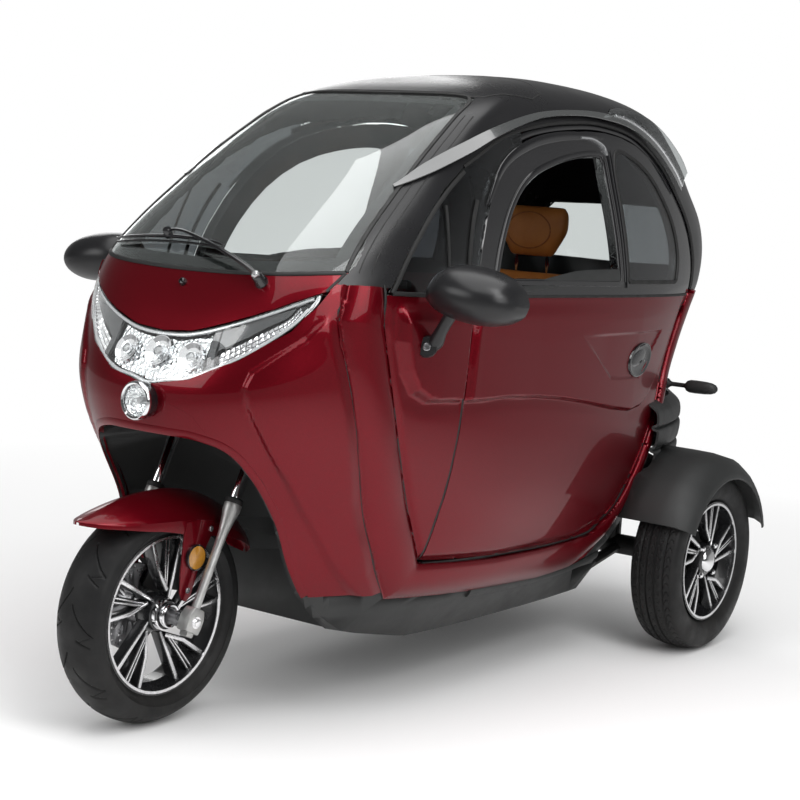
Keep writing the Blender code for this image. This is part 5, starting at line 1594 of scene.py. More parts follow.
heads, discs, cups = [], [], []
for side in (1, -1):
    for y, z in ((-0.834, 0.431), (-0.898, 0.303)):
        heads.append(screw("fender_screw", (side * 0.089, y, z), SIDEWAYS * side, 0.0062, 0.004))
    place = Vector((side * 0.089, -0.882, 0.374))
    cup = [
        (0.001, 0.0), (0.0282, 0.0), (0.029, 0.004), (0.0286, 0.0085), (0.0262, 0.0095), (0.0262, 0.006),
        (0.001, 0.006),
    ]
    cups.append(spun("reflector_cup", cup, place, SIDEWAYS * side, 56))
    lens = [(0.0, 0.005), (0.0, 0.0108), (0.016, 0.0104), (0.0252, 0.0092), (0.0258, 0.005)]
    discs.append(spun("reflector_lens", lens, place, SIDEWAYS * side, 56))
finished("fender_screws", heads, STEEL, 30, "steering")
finished("reflector_cups", cups, GLOSS, 30, "steering")
finished("reflector_lenses", discs, AMBER, 30, "steering")
print("front fender:", len(fender.data.polygons), "faces")

# %% [markdown]
# The fork: slim cast sliders that flare at the top, a rubber band, and chrome tubes up to the crown.
# Every part turned on a lathe is a half outline spun about its axis, here about the leaning fork line.

# %% Fork
RAKE = math.radians(25.4)
ALONG = Vector((0, math.sin(RAKE), math.cos(RAKE)))
AHEAD = Vector((0, -math.cos(RAKE), math.sin(RAKE)))
FORK_SPREAD = 0.118
LEG_PROFILES = {
    "fork_slider": (CAST, ((0.0004, -0.004), (0.0108, -0.004), (0.0098, 0.03), (0.0096, 0.165), (0.0112, 0.205), (0.0155, 0.236),
                           (0.0192, 0.254), (0.0196, 0.267), (0.0186, 0.2705), (0.0004, 0.2705))),
    "fork_seal": (
        SEAL,
        (
            (0.0004, 0.268), (0.019, 0.268), (0.0204, 0.271), (0.0206, 0.2785), (0.018, 0.2815),
            (0.0004, 0.2815)
        )
    ),
    "fork_tube": (CHROME, ((0.0004, 0.278), (0.0136, 0.278), (0.0136, 0.402), (0.0004, 0.402))),
}
FOOT_BLOCKS = (
    # name, outline as (ahead, up), thickness, rounded edge
    (
        "fork_foot",
        (
            (-0.021, -0.024), (0.021, -0.024), (0.024, -0.01), (0.024, 0.01), (0.016, 0.03), (-0.016, 0.03),
            (-0.024, 0.01), (-0.024, -0.01)
        ),
        0.03, 0.003
    ),
    ("fork_lug", ((-0.012, -0.02), (0.012, -0.02), (0.01, -0.034), (-0.01, -0.034)), 0.022, 0.002),
)
WASHER = ((0.0005, 0.0), (0.0132, 0.0), (0.0132, 0.0018), (0.0005, 0.0018))
for word, side in SIDES:
    foot = FRONT_HUB + SIDEWAYS * side * FORK_SPREAD
    for name, (material, profile) in LEG_PROFILES.items():
        part = spun(f"{name}_{word}", profile, foot, ALONG, 40)
        stands = ("fork_leg_" + word,) if name == "fork_slider" else ()
        dressed(shade(part, 35), f"{name}_{word}", "steering", material, stands)
    block_parts = []
    for name, outline, thick, edge in FOOT_BLOCKS:
        corners = [foot - SIDEWAYS * side * thick / 2 + AHEAD * ahead + ALONG * up for ahead, up in outline]
        block_parts.append(plate(name, corners, SIDEWAYS * side * thick, edge))
    finished("fork_foot_" + word, block_parts, CAST, 35, "steering")
    face = foot + SIDEWAYS * side * 0.0148
    nut = []
    for degrees in range(0, 360, 60):
        turn = math.radians(degrees)
        nut.append(face + AHEAD * 0.0095 * math.cos(turn) + ALONG * 0.0095 * math.sin(turn))
    washer = spun("axle_washer", WASHER, face, SIDEWAYS * side, 36)
    hexagon = plate("axle_nut", nut, SIDEWAYS * side * 0.0078, 0.0009)
    finished("axle_nut_" + word, [washer, hexagon], CHROME, 30, "steering")
hub_rings = []
for profile in (
    ((0.029, 0.034), (0.0345, 0.034), (0.0356, 0.04), (0.0345, 0.0475), (0.031, 0.0485), (0.029, 0.046)),
    ((0.018, 0.046), (0.0262, 0.046), (0.0272, 0.05), (0.0265, 0.06), (0.024, 0.0615), (0.0205, 0.06)),
):
    hub_rings.append(spun("hub_ring", profile, FRONT_HUB, SIDEWAYS, 64))
finished("front_hub_rings", hub_rings, CHROME, 50, "front_wheel")
HUB_SEAT = (
    (0.0125, 0.036), (0.03, 0.036), (0.03, 0.045), (0.02, 0.0455), (0.0185, 0.0585), (0.0125, 0.0585)
)
dark_hub = spun("front_hub_seat", HUB_SEAT, FRONT_HUB, SIDEWAYS, 56)
finished("front_hub_seat", dark_hub, ALLOY, 35, "front_wheel")
SPACER = ((0.01, 0.048), (0.0155, 0.048), (0.0155, 0.08), (0.018, 0.082), (0.018, 0.1025), (0.01, 0.1025))
AXLE_ROD = ((0.0003, -0.104), (0.0094, -0.104), (0.0094, 0.104), (0.0003, 0.104))
spacers = [spun("axle_spacer", SPACER, FRONT_HUB, SIDEWAYS * side, 40) for side in (1, -1)]
spacers.append(spun("axle_rod", AXLE_ROD, FRONT_HUB, SIDEWAYS, 28))
finished("front_axle_set", spacers, STEEL, 35, "steering", ("front_axle",))
print("fork and hub are made")

# %% [markdown]
# The disc is drilled to shed water. A real drill goes through the plate, and so do these cylinders,
# which one Boolean takes away together. The caliper only needs its edges rounded.

# %% Brake disc and caliper
# Each ring of holes: radius, and turn in degrees.
DRILL_RINGS = ((0.07, 0.0), (0.0785, 8.0), (0.087, 16.0))
HOLES_A_RING = 15
DISC_X = -0.0535
disc = cad_copy("brake_disc", "brake_disc_drilled")
holes = []
for radius, shift in DRILL_RINGS:
    for i in range(HOLES_A_RING):
        angle = math.radians(360 * i / HOLES_A_RING + shift)
        deselect()
        bpy.ops.mesh.primitive_cylinder_add(
            vertices=12, radius=0.0032, depth=0.02, rotation=(0, math.pi / 2, 0),
            location=(
                DISC_X, FRONT_AXLE_Y + radius * math.cos(angle), FRONT_TYRE_R + radius * math.sin(angle)
            ),
        )
        holes.append(bpy.context.object)
drill = merged("disc_drill", holes)
active(drill)
bpy.ops.object.transform_apply(location=True, rotation=True, scale=True)
active(disc)
drilled = disc.modifiers.new("holes", "BOOLEAN")
drilled.object = drill
drilled.operation = "DIFFERENCE"
bpy.ops.object.modifier_apply(modifier=drilled.name)
bpy.data.objects.remove(drill, do_unlink=True)
finished("brake_disc_drilled", disc, STEEL, 30, "front_wheel", ("brake_disc",))
caliper = cad_copy("brake_caliper", "brake_caliper_cast")
bevelled(caliper, 0.004, 3)
finished("brake_caliper_cast", caliper, FRAME_PAINT, 40, "steering", ("brake_caliper",))
print("brake:", len(disc.data.polygons), "faces in the disc")

# %% [markdown]
# A mirror housing is a smooth half shell, high near its inner end and drawn out to a point there.
# It is laid out in sections from the inner end to the outer end, closed by a flat rear face that
# holds the glass.

# %% Mirrors
MIRROR_STATIONS = (
    # x, top, bottom, depth, all from the housing's middle
    (-0.114, -0.01, -0.014, 0.004), (-0.106, 0.012, -0.026, 0.024), (-0.09, 0.036, -0.038, 0.042),
    (-0.07, 0.052, -0.047, 0.057), (-0.04, 0.061, -0.055, 0.069), (0.0, 0.06, -0.061, 0.075),
    (0.04, 0.053, -0.062, 0.073), (0.07, 0.043, -0.057, 0.064), (0.092, 0.03, -0.048, 0.05),
    (0.106, 0.014, -0.036, 0.03), (0.114, -0.008, -0.016, 0.006),
)


ARM_RADII = (
    0.0185, 0.019, 0.0195, 0.0198, 0.0198, 0.0195, 0.019, 0.018, 0.0168, 0.0158, 0.015, 0.0146, 0.0144,
    0.0144,
    0.0146, 0.015, 0.0158, 0.0168, 0.018, 0.0195, 0.021, 0.022,
)
FOOT_PROFILE = (
    (0.0005, -0.006), (0.0225, -0.006), (0.024, 0.0), (0.024, 0.012), (0.0215, 0.019), (0.0005, 0.021)
)
GLASS_DEPTH = 0.04


def make_mirror(word, side, back):
    """One mirror. Its housing is set back by some distance, as the two stand at different angles."""
    middle = Vector((side * 0.566, back - 0.593, 0.978))
    rows = []
    for x, top, bottom, depth in along_stations(MIRROR_STATIONS, 60):
        height, centre = (top - bottom) / 2, (top + bottom) / 2
        row = []
        for angle in np.linspace(-90, 90, 33):
            turn = math.radians(angle)
            out = abs(math.cos(turn)) ** 0.85
            row.append((side * x, 0.018 - (depth + 0.018) * out, centre + height * math.sin(turn)))
        for reach, share in ((0.033, 0.99), (GLASS_DEPTH, 0.94)):
            row.append((side * x, reach, centre + height * share))
        row += [(side * x, GLASS_DEPTH, centre + height * 0.94 * s) for s in np.linspace(0.8, -0.8, 9)]
        for reach, share in ((GLASS_DEPTH, 0.94), (0.033, 0.99)):
            row.append((side * x, reach, centre - height * share))
        rows.append([tuple(Vector(p) + middle) for p in row + row[:1]])
    head = laid_grid("mirror_head", rows, cap=True)
    shade(head, 40)
    inner = Vector((side * 0.418, -0.556, 0.857))
    arm_points = spline_through(
        (
            inner, (side * 0.452, -0.56, 0.864), (side * 0.474, back / 2 - 0.572, 0.89),
            (side * 0.5, back - 0.582, 0.924), (side * 0.52, back - 0.588, 0.95)
        ),
        22
    )
    arm = swept("mirror_arm", arm_points, ARM_RADII, 20, squash=0.8)
    facing = Vector((side * 0.55, -0.83, 0.05)).normalized()
    foot = spun("mirror_foot", FOOT_PROFILE, inner + Vector((side * 0.02, -0.01, 0.0)), facing, 40)
    finished("mirror_shell_" + word, [head, arm, foot], SATIN, 40, "vehicle", ("mirror_" + word,))
    bolt = screw("mirror_bolt", inner + Vector((side * 0.0315, -0.0273, 0.001)), facing, 0.0085, 0.004)
    finished("mirror_bolt_" + word, bolt, STEEL, 30)
    ends = along_stations(MIRROR_STATIONS, 24)[2:-2]
    outline = []
    for over, stations in ((1, ends), (-1, ends[::-1])):
        for x, top, bottom, _ in stations:
            z = (top + bottom) / 2 + over * (top - bottom) / 2 * 0.86
            outline.append(middle + Vector((side * x * 0.965, GLASS_DEPTH + 0.0004, z)))
    pane = plate("mirror_glass_" + word, outline, (0, 0.0022, 0), 0.0006)
    finished("mirror_glass_" + word, pane, CHROME, 30)


make_mirror("left", 1, 0.0)
make_mirror("right", -1, 0.042)
print("mirrors are made")

# %% [markdown]
# Black mouldings frame every window: a channel round each pane, a drip strip over the door and a
# wedge along its sill. All of them are strips with rounded backs that follow the skin.

# %% Window mouldings
WINDOW_LINE = (
    (-0.305, 0.995), (-0.262, 1.085), (-0.19, 1.175), (-0.09, 1.243), (0.05, 1.288), (0.18, 1.312),
    (0.27, 1.319),
)
REAR_PANE_LINE = (
    (0.33, 1.0), (0.335, 1.15), (0.348, 1.318), (0.45, 1.318), (0.56, 1.262), (0.63, 1.165), (0.652, 1.07),
    (0.64, 1.0),
)


def walked(corners, step, least=1):
    """Points along a closed loop of corners, so many on each side."""
    corners = [Vector(corner) for corner in corners]
    made = []
    for start, end in zip(corners, corners[1:] + corners[:1]):
        steps = max(least, int((end - start).length / step))
        made += [start.lerp(end, k / steps) for k in range(steps)]
    return made


def closed_strip(name, corners, half_width, rise):
    """A strip round a closed outline whose corners are a little rounded."""
    corners = [Vector(corner) for corner in corners]
    outline = []
    for i, here in enumerate(corners):
        for other in (corners[i - 1], corners[(i + 1) % len(corners)]):
            reach = min(0.012, (other - here).length * 0.4)
            outline.append(here + (other - here).normalized() * reach)
    return laid_ribbon(name, walked(outline, 0.01), side_skin, half_width, rise, 0.003, True)


VEHICLE = {"left": "vehicle", "right": "vehicle"}
window = smooth_outline(WINDOW_LINE, 26) + [
    (0.288, 1.314), (0.291, 1.29), (0.292, 1.0), (0.285, 0.995), (-0.298, 0.995)
]
channel = closed_strip("window_channel", window, 0.0075, 0.0055)
lip = closed_strip(
    "window_lip", [(y * 0.965 - 0.001, 1.155 + (z - 1.155) * 0.955) for y, z in window], 0.003, 0.002
)
both_sides([channel, lip], "window_channel", DOOR_BODIES, GLOSS)
pane_edge = closed_strip("pane_channel", smooth_outline(REAR_PANE_LINE, 40), 0.0055, 0.004)
both_sides(pane_edge, "pane_channel", DOOR_BODIES, SEAL)
bars = [
    strip("door_bar", ((0.303, 1.0), (0.306, 1.16), (0.31, 1.322)), 0.005, 0.0065),
    strip("door_bar", ((0.318, 0.985), (0.321, 1.16), (0.326, 1.33)), 0.0035, 0.005),
]
both_sides(bars, "door_bars", DOOR_BODIES, GLOSS)
wedge_line = ((-0.3, 0.972), (-0.16, 0.984), (-0.02, 1.001), (0.11, 1.012), (0.28, 1.016))
wedge = strip("sill_wedge", wedge_line, [0.006 + 0.01 * min(1.0, i / 40) for i in range(60)], 0.0045)
both_sides(wedge, "sill_wedge", DOOR_BODIES, PLASTIC)
arch_line = (
    (-0.3, 1.168), (-0.2, 1.262), (-0.07, 1.318), (0.08, 1.348), (0.24, 1.36), (0.3, 1.358),
)
over_door = strip(
    "over_door", arch_line, [0.002 + 0.01 * math.sin(math.pi * i / 59) ** 0.5 for i in range(60)], 0.005
)
both_sides(over_door, "over_door", DOOR_BODIES, GLOSS)
bead_line = ((0.18, 1.352), (0.24, 1.352), (0.29, 1.338), (0.3, 1.316))
both_sides(strip("drip_bead", bead_line, 0.0035, 0.0085), "drip_bead", DOOR_BODIES, SILVER)
sill = strip(
    "belt_seal", ((-0.37, 0.963), (-0.1, 0.964), (0.25, 0.964), (0.6, 0.964), (0.75, 0.965)), 0.0035, 0.003
)
both_sides(sill, "belt_seal", DOOR_BODIES, SEAL)
quarter_line = ((-0.655, 0.968), (-0.6, 1.04), (-0.52, 1.122), (-0.44, 1.188), (-0.365, 1.238))
quarter_bars = [
    strip("quarter_bar", quarter_line, 0.005, 0.0045),
    strip("quarter_bar", ((-0.412, 0.966), (-0.4, 1.04), (-0.372, 1.118), (-0.338, 1.176)), 0.0045, 0.0055),
    strip("quarter_bar", ((-0.655, 0.968), (-0.56, 0.966), (-0.415, 0.966)), 0.005, 0.004),
    strip("quarter_bar", ((-0.48, 0.968), (-0.47, 1.06), (-0.452, 1.16)), 0.004, 0.0035),
]
both_sides(quarter_bars, "quarter_seal", VEHICLE, SEAL)
print("window mouldings are on")

# %% [markdown]
# The handle is a lever in an oval dish, with a lock beside it. The dish is laid ring by ring over the
# panel's raised form, because pressing it in would need a finer door skin.

# %% Door handle
HANDLE = (0.45, 0.795)


def ellipse(centre, wide, high, count=40, lean=0.0):
    points = []
    for i in range(count):
        a = 2 * math.pi * i / count
        u, v = wide * math.cos(a), high * math.sin(a)
        points.append(
            (
                centre[0] + u * math.cos(lean) - v * math.sin(lean),
                centre[1] + u * math.sin(lean) + v * math.cos(lean)
            )
        )
    return points


HANDLE_RISE = side_form(side_skin(*HANDLE)[0])
cup_rows = []
for share, depth in (
    (1.06, -0.001), (1.03, 0.0042), (0.97, 0.0052), (0.92, 0.0042), (0.8, 0.0022), (0.55, 0.0014),
    (0.02, 0.0012)
):
    place = lifted(side_skin, depth + HANDLE_RISE + 0.001)
    ring = ellipse(HANDLE, 0.074 * share, 0.043 * share, 48, 0.12)
    cup_rows.append([tuple(place(y, z)) for y, z in ring + ring[:1]])
cup = laid_grid("handle_cup", cup_rows)
thicken(cup, 0.0015)
lever_rows = []
for i, y in enumerate(np.linspace(-0.06, 0.034, 16)):
    share = math.sin(math.pi * (i + 0.5) / 16) ** 0.35
    row = []
    for a in np.linspace(0, 2 * math.pi, 17):
        place = lifted(side_skin, HANDLE_RISE + 0.001 + 0.0056 * math.cos(a) * share)
        row.append(tuple(place(HANDLE[0] + y, HANDLE[1] + 0.008 + 0.16 * y + 0.022 * math.sin(a) * share)))
    lever_rows.append(row)
lever = laid_grid("handle_lever", lever_rows, cap=True)
both_sides([cup, lever], "door_handle", DOOR_BODIES, GLOSS)
LOCK_PROFILE = (
    (0.0004, -0.004), (0.0105, -0.004), (0.0112, 0.0035), (0.0095, 0.0055), (0.006, 0.005), (0.0052, 0.003),
    (0.0004, 0.003)
)
spot, normal = side_skin(HANDLE[0] + 0.046, HANDLE[1] - 0.002)
spot = spot + normal * (HANDLE_RISE - 0.003)
lock = spun("door_lock", LOCK_PROFILE, spot, normal, 32)
both_sides(lock, "door_lock", DOOR_BODIES, CHROME)
print("door handles are on")

# %% [markdown]
# The rain visor is a smoked strip over each door, fixed along a bright edge. It stands clear of the
# roof at its rear end. A strip like this is bent from flat sheet, so it is laid out as a thin grid.

# %% Rain visors
VISOR_TOP = (
    (-0.545, 1.196, 0.003), (-0.45, 1.252, 0.003), (-0.34, 1.302, 0.004), (-0.2, 1.352, 0.004),
    (0.0, 1.398, 0.004),
    (0.2, 1.42, 0.004), (0.36, 1.424, 0.006), (0.49, 1.41, 0.01), (0.6, 1.366, 0.014), (0.69, 1.3, 0.016),
    (0.735, 1.258, 0.014),
)
VISOR_LOW = (
    (-0.548, 1.19, 0.006), (-0.455, 1.228, 0.012), (-0.355, 1.27, 0.018), (-0.205, 1.33, 0.018),
    (0.0, 1.382, 0.014),
    (0.2, 1.404, 0.012), (0.35, 1.404, 0.012), (0.47, 1.39, 0.014), (0.575, 1.347, 0.018),
    (0.662, 1.282, 0.02),
    (0.708, 1.24, 0.018),
)


def visor_line(points, count=70):
    made = []
    for p in spline_through(points, count):
        spot, normal = side_skin(p.x, p.y)
        made.append(spot + normal * p.z)
    return made


upper, lower = visor_line(VISOR_TOP), visor_line(VISOR_LOW)
rows = [[tuple(a.lerp(b, k / 8)) for k in range(9)] for a, b in zip(upper, lower)]
blade = laid_grid("rain_visor", rows)
face_out(blade)
thicken(blade, 0.0022)
SMOKED_CLEAR = glass("smoked acrylic", (0.42, 0.44, 0.44))
SMOKED_BLADE = finish(
    "smoked blade", (
        0.055, 0.058, 0.058
    ), 0.14, shine=(0.1, 0.2, 6.0), Coat_Weight=1.0, Coat_Roughness=0.03, Specular_IOR_Level=0.8
)
both_sides(blade, "rain_visor_blade", VEHICLE, SMOKED_BLADE, 40, ("rain_visor_",))
bright_edge = ribbon(
    "visor_edge", upper[44:], [side_skin(p.y, p.z)[1] for p in upper[44:]], 0.0052, 0.004, 0.001
)
both_sides(bright_edge, "visor_rail", VEHICLE, SILVER)
pins = []
for i in (46, 58, 66):
    normal = side_skin(upper[i].y, upper[i].z)[1]
    pins.append(screw("visor_screw", upper[i] + normal * 0.003, normal, 0.0042, 0.003))
both_sides(pins, "visor_screws", VEHICLE, STEEL, 30)
flare_rows = []
for i, k in enumerate(range(42, 70)):
    t = i / 27
    base = upper[k]
    normal = side_skin(base.y, base.z)[1]
    out = 0.052 * math.sin(math.pi * min(1.0, t * 0.62 + 0.02)) ** 0.9
    along = (upper[min(k + 1, 69)] - upper[k - 1]).normalized()
    away = along.cross(normal).normalized()
    if away.dot(Vector((0, 0.6, 0.8))) < 0:
        away = -away
    flare_rows.append(
        [tuple(base + away * out * s + normal * (0.004 + 0.01 * s * s)) for s in np.linspace(0, 1, 9)]
    )
flare = laid_grid("visor_flare", flare_rows)
thicken(flare, 0.002)
both_sides(flare, "visor_flare", VEHICLE, SMOKED_CLEAR)
print("rain visors are on")

# %% [markdown]
# The wiper has a rubber, a spine and a bent arm on a pivot. Each is a bar swept along a line at its own
# height over the glass, so that the blade follows the curved screen.

# %% Wiper and washer
def front_line(points, lift, count):
    made = []
    for p in spline_through([(x, z, 0.0) for x, z in points], count):
        spot, normal = front_skin(p.x, p.y)
        made.append(spot + normal * lift)
    return made


blade_points = front_line(
    ((-0.292, 1.024), (-0.2, 1.032), (-0.1, 1.036), (0.0, 1.035), (0.05, 1.03)), 0.006, 40
)
wiper_parts = [swept("wiper_rubber", blade_points, 0.0028, 10)]
spine = front_line(((-0.292, 1.028), (-0.2, 1.037), (-0.1, 1.042), (0.0, 1.04), (0.05, 1.034)), 0.013, 40)
thickness = [0.0035 + 0.0035 * math.sin(math.pi * i / 39) for i in range(40)]
wiper_parts.append(swept("wiper_spine", spine, thickness, 12, squash=0.6))
arm_line = [
    Vector(p)
    for p in (
        (0.203, 0, 0.978), (0.16, 0, 0.992), (0.08, 0, 1.012), (0.0, 0, 1.03), (-0.08, 0, 1.046),
        (-0.125, 0, 1.05)
    )
]
arm = []
for i, p in enumerate(spline_through(arm_line, 30)):
    spot, normal = front_skin(p.x, p.z)
    arm.append(spot + normal * (0.02 + 0.012 * math.sin(math.pi * i / 29)))
wiper_parts.append(swept("wiper_arm", arm, [0.0085 - 0.0035 * i / 29 for i in range(30)], 14, squash=0.6))
JOINT_PROFILE = ((0.0004, 0.008), (0.01, 0.008), (0.01, 0.026), (0.0085, 0.029), (0.0004, 0.029))
spot, normal = front_skin(-0.122, 1.045)
wiper_parts.append(spun("wiper_joint", JOINT_PROFILE, spot, normal, 28))
PIVOT_PROFILE = (
    (0.0004, -0.004), (0.015, -0.004), (0.015, 0.004), (0.0118, 0.008), (0.0118, 0.026), (0.0095, 0.03),
    (0.0004, 0.03)
)
spot, normal = front_skin(0.203, 0.974)
wiper_parts.append(spun("wiper_pivot", PIVOT_PROFILE, spot, normal, 32))
finished("wiper_set", wiper_parts, GLOSS, 40, "vehicle", ("wiper",))
WIPER_NUT = ((0.0004, 0.028), (0.0088, 0.028), (0.0092, 0.034), (0.007, 0.037), (0.0004, 0.0375))
cap = spun("wiper_nut", WIPER_NUT, spot, normal, 6)
finished("wiper_nut", bevelled(cap, 0.001), SILVER, 30)
NOZZLE_PROFILE = (
    (0.0004, -0.002), (0.0085, -0.002), (0.0092, 0.003), (0.007, 0.009), (0.004, 0.0105), (0.0036, 0.007),
    (0.0004, 0.007)
)
spot, normal = front_skin(0.0, 0.958)
nozzle = spun("washer_nozzle", NOZZLE_PROFILE, spot, normal, 28)
finished("washer_nozzle", nozzle, GLOSS, 35)
print("wiper is on")

# %% [markdown]
# Rubber seals frame the screen and the rear window. They are ribbons on the skin too, and thin double
# seams run up the pillars beside the glass.

# %% Screen seals and roof seams
SCREEN_LINE = (
    (0.345, 1.008), (0.333, 1.08), (0.322, 1.154), (0.303, 1.27), (0.28, 1.372), (0.262, 1.408),
    (0.205, 1.423), (0.0, 1.425),
)
side_line = smooth_outline(SCREEN_LINE, 70)
whole_line = [(-x, z) for x, z in side_line] + side_line[-2::-1]
screen_seal = laid_ribbon("screen_seal", whole_line, front_skin, 0.0048, 0.0032)
low_line = smooth_outline(mirrored_line(((0.0, 0.987), (0.12, 0.989), (0.24, 0.995), (0.343, 1.006))), 60)
low_seal = laid_ribbon("screen_low_seal", low_line, front_skin, 0.005, 0.003)
finished("screen_seal", [screen_seal, low_seal], SEAL)
seams = []
for side in (1, -1):
    for offset in (0.016, 0.03):
        line = [(side * (x + offset), z) for x, z in side_line if z < 1.37]
        seams.append(laid_ribbon("pillar_seam", line, front_skin, 0.0013, 0.001))
finished("pillar_seams", seams, SEAL)
rear_line = [
    (0.252, 1.03), (0.262, 1.064), (0.25, 1.182), (0.224, 1.206), (0.0, 1.212), (-0.224, 1.206),
    (-0.25, 1.182), (-0.262, 1.064), (-0.252, 1.03), (0.0, 1.024),
]
rear_seal = laid_ribbon("rear_window_seal", walked(rear_line, 1.0, 8), rear_skin, 0.0065, 0.004, 0.003, True)
finished("rear_window_seal", rear_seal, SEAL)
print("seals are in")

# %% [markdown]
# Shut lines are where a body shows its quality. A rubber bead lies in the gap round each door, a
# gutter catches the water over it, and a trim strip finishes the roof's edge.

# %% Door seals and gutters
DOOR_EDGE = (
    (-0.432, 0.36), (-0.408, 0.5), (-0.4, 0.65), (-0.395, 0.85), (-0.382, 0.955), (-0.34, 1.075),
    (-0.27, 1.19), (-0.17, 1.28), (-0.04, 1.33), (0.13, 1.362), (0.32, 1.374), (0.49, 1.352), (0.62, 1.285),
    (0.71, 1.18), (0.757, 1.07), (0.763, 0.975), (0.728, 0.82), (0.655, 0.64), (0.52, 0.475), (0.37, 0.37),
    (0.22, 0.34), (-0.15, 0.343), (-0.425, 0.352),
)
ROOF_EDGE = (
    (-0.36, 1.25), (-0.18, 1.328), (0.0, 1.368), (0.16, 1.388), (0.32, 1.396), (0.5, 1.375), (0.645, 1.303),
    (0.738, 1.198), (0.785, 1.08), (0.795, 0.98),
)
GUTTER_LINE = (
    (-0.13, 1.324), (-0.02, 1.354), (0.145, 1.38), (0.32, 1.39), (0.497, 1.369), (0.636, 1.299),
    (0.728, 1.193),
    (0.775, 1.078), (0.783, 0.985),
)


def formed_side(lift, form=side_form):
    """Places on the left side of the body, with the form of the panels there."""
    def place(y, z):
        spot, normal = side_skin(y, z)
        return spot + normal * (form(spot) + lift), normal
    return place


def flat_form(spot):
    """No form: the plain skin."""
    return 0.0


def widened(line, distance):
    """A line in side view, moved to its left as it runs."""
    line = [Vector((a, b)) for a, b in line]
    made = []
    for i, here in enumerate(line):
        run = way_at(line, i)
        made.append((here.x - run.y * distance, here.y + run.x * distance))
    return made


front_edge = [(y, z) for y, z in smooth_outline(DOOR_EDGE[:5], 60)]
low_edge = smooth_outline(DOOR_EDGE[15:], 110)
beads = [
    strip("door_bead", widened(front_edge, 0.004), 0.003, 0.0006, 0.004, 60, place=formed_side(-0.0012)),
    strip("door_bead", widened(low_edge, 0.004), 0.004, 0.0008, 0.004, 110, place=formed_side(-0.0005)),
]
both_sides(beads, "door_bead", VEHICLE, SEAL)
gutter = strip("gutter", GUTTER_LINE, 0.0085, 0.003, 0.006, 90, place=formed_side(-0.008, flat_form))
both_sides(gutter, "gutter", VEHICLE, GLOSS)
roof_trim = strip("roof_trim", ROOF_EDGE, 0.0042, 0.003, 0.003, 100)
both_sides(roof_trim, "roof_trim", VEHICLE, SEAL)
RING_SEAM = ((-0.753, 0.976), (-0.769, 0.94)) + RING_OUTER[1:7]
ring_seam = strip("ring_seam", RING_SEAM, 0.0024, 0.0009, 0.003, 100)
both_sides(ring_seam, "ring_seam", VEHICLE, SEAL)
quarter_seam = strip("quarter_seam", RING_INNER[:6], 0.0028, 0.001, 0.004, 90, place=formed_side(0.0006))
both_sides(quarter_seam, "quarter_seam", VEHICLE, SEAL)
step = strip(
    "sill_step", ((-0.2, 0.248), (-0.05, 0.243), (0.1, 0.24), (0.3, 0.246), (0.43, 0.262)), 0.012, 0.006,
    0.003, 70
)
both_sides(step, "sill_step", VEHICLE, PLASTIC)
print("door beads, gutters and trims are in")

# %% [markdown]
# The cowl's opening for the wheel has a rolled edge, which catches the light as a thin line. A ribbon
# with a deep foot closes the rough cut there, and a small patch fills the chin under the lamp.

# %% The rolled edge of the wheel arch
ARCH_EDGE = (
    (0.251, 0.292), (0.249, 0.34), (0.242, 0.45), (0.228, 0.56), (0.195, 0.622), (0.13, 0.645),
    (0.06, 0.648),
    (0.0, 0.648),
)
arch_edge = smooth_outline(mirrored_line(ARCH_EDGE[::-1]), 120)
arch_lip = laid_ribbon("arch_lip", arch_edge, front_skin, 0.0085, 0.0016, 0.012)
finished("arch_lip", arch_lip, RED, 50)
CHIN_LINE = (
    (-0.165, 0.64), (-0.08, 0.646), (0.0, 0.648), (0.08, 0.646), (0.165, 0.64), (0.125, 0.69),
    (0.06, 0.712), (-0.06, 0.712), (-0.125, 0.69),
)
chin = patch("chin", CHIN_LINE, lifted(front_skin, 0.0003), 0.005, 0.01)
finished("chin", chin, RED, 30)
hood_edges = []
for side in (1, -1):
    line = smooth_outline(((side * 0.345, 1.006), (side * 0.34, 0.988), (side * 0.331, 0.966)), 20)
    hood_edges.append(laid_ribbon("hood_edge", line, front_skin, 0.003, 0.0014, 0.003))
finished("hood_edges", hood_edges, SEAL)
print("the arch has its edge")

# %% [markdown]
# The windscreen is bonded to the body, and a black printed band hides the glue. The roof's front
# is a glossy panel between two seams.

# %% Windscreen band and roof panel
band_parts = []
upright_line = [(x - 0.014, z) for x, z in side_line]
for side in (1, -1):
    line = [(side * x, z) for x, z in upright_line if z < 1.4]
    band_parts.append(laid_ribbon("screen_band", line, front_skin, 0.015, 0.0008, 0.0008, lift=-0.0078))
foot_line = [(x, z + 0.018) for x, z in low_line]
head_line = [(x, 1.409 - 0.1 * x * x) for x in np.linspace(-0.25, 0.25, 50)]
for line, half in ((foot_line, 0.017), (head_line, 0.015)):
    band_parts.append(laid_ribbon("screen_band", line, front_skin, half, 0.0008, 0.0008, lift=-0.008))
finished("screen_band", band_parts, CABIN)


front_rim_line = []
for x in np.linspace(-0.25, 0.25, 15):
    spot, _ = front_skin(x, float(np.interp(abs(x), (0.0, 0.205, 0.262), (1.425, 1.423, 1.41))) + 0.004)
    front_rim_line.append((float(x), spot.y + 0.004))
rear_rim_line = [
    (0.276, -0.17), (0.288, -0.08), (0.29, 0.02), (0.268, 0.09), (0.2, 0.118), (0.0, 0.13),
]
outline = front_rim_line + rear_rim_line + [(-x, y) for x, y in rear_rim_line[-2::-1]]
roof_panel = patch("roof_panel", outline, lifted(top_skin, 0.0008), 0.0015, 0.02)
finished("roof_panel", roof_panel, SATIN, 30)
seam = laid_ribbon("roof_seam", walked(outline, 0.012, 2), top_skin, 0.0022, 0.0016, 0.002, True)
finished("roof_seam", seam, SEAL)
print("roof panel and screen band are on")
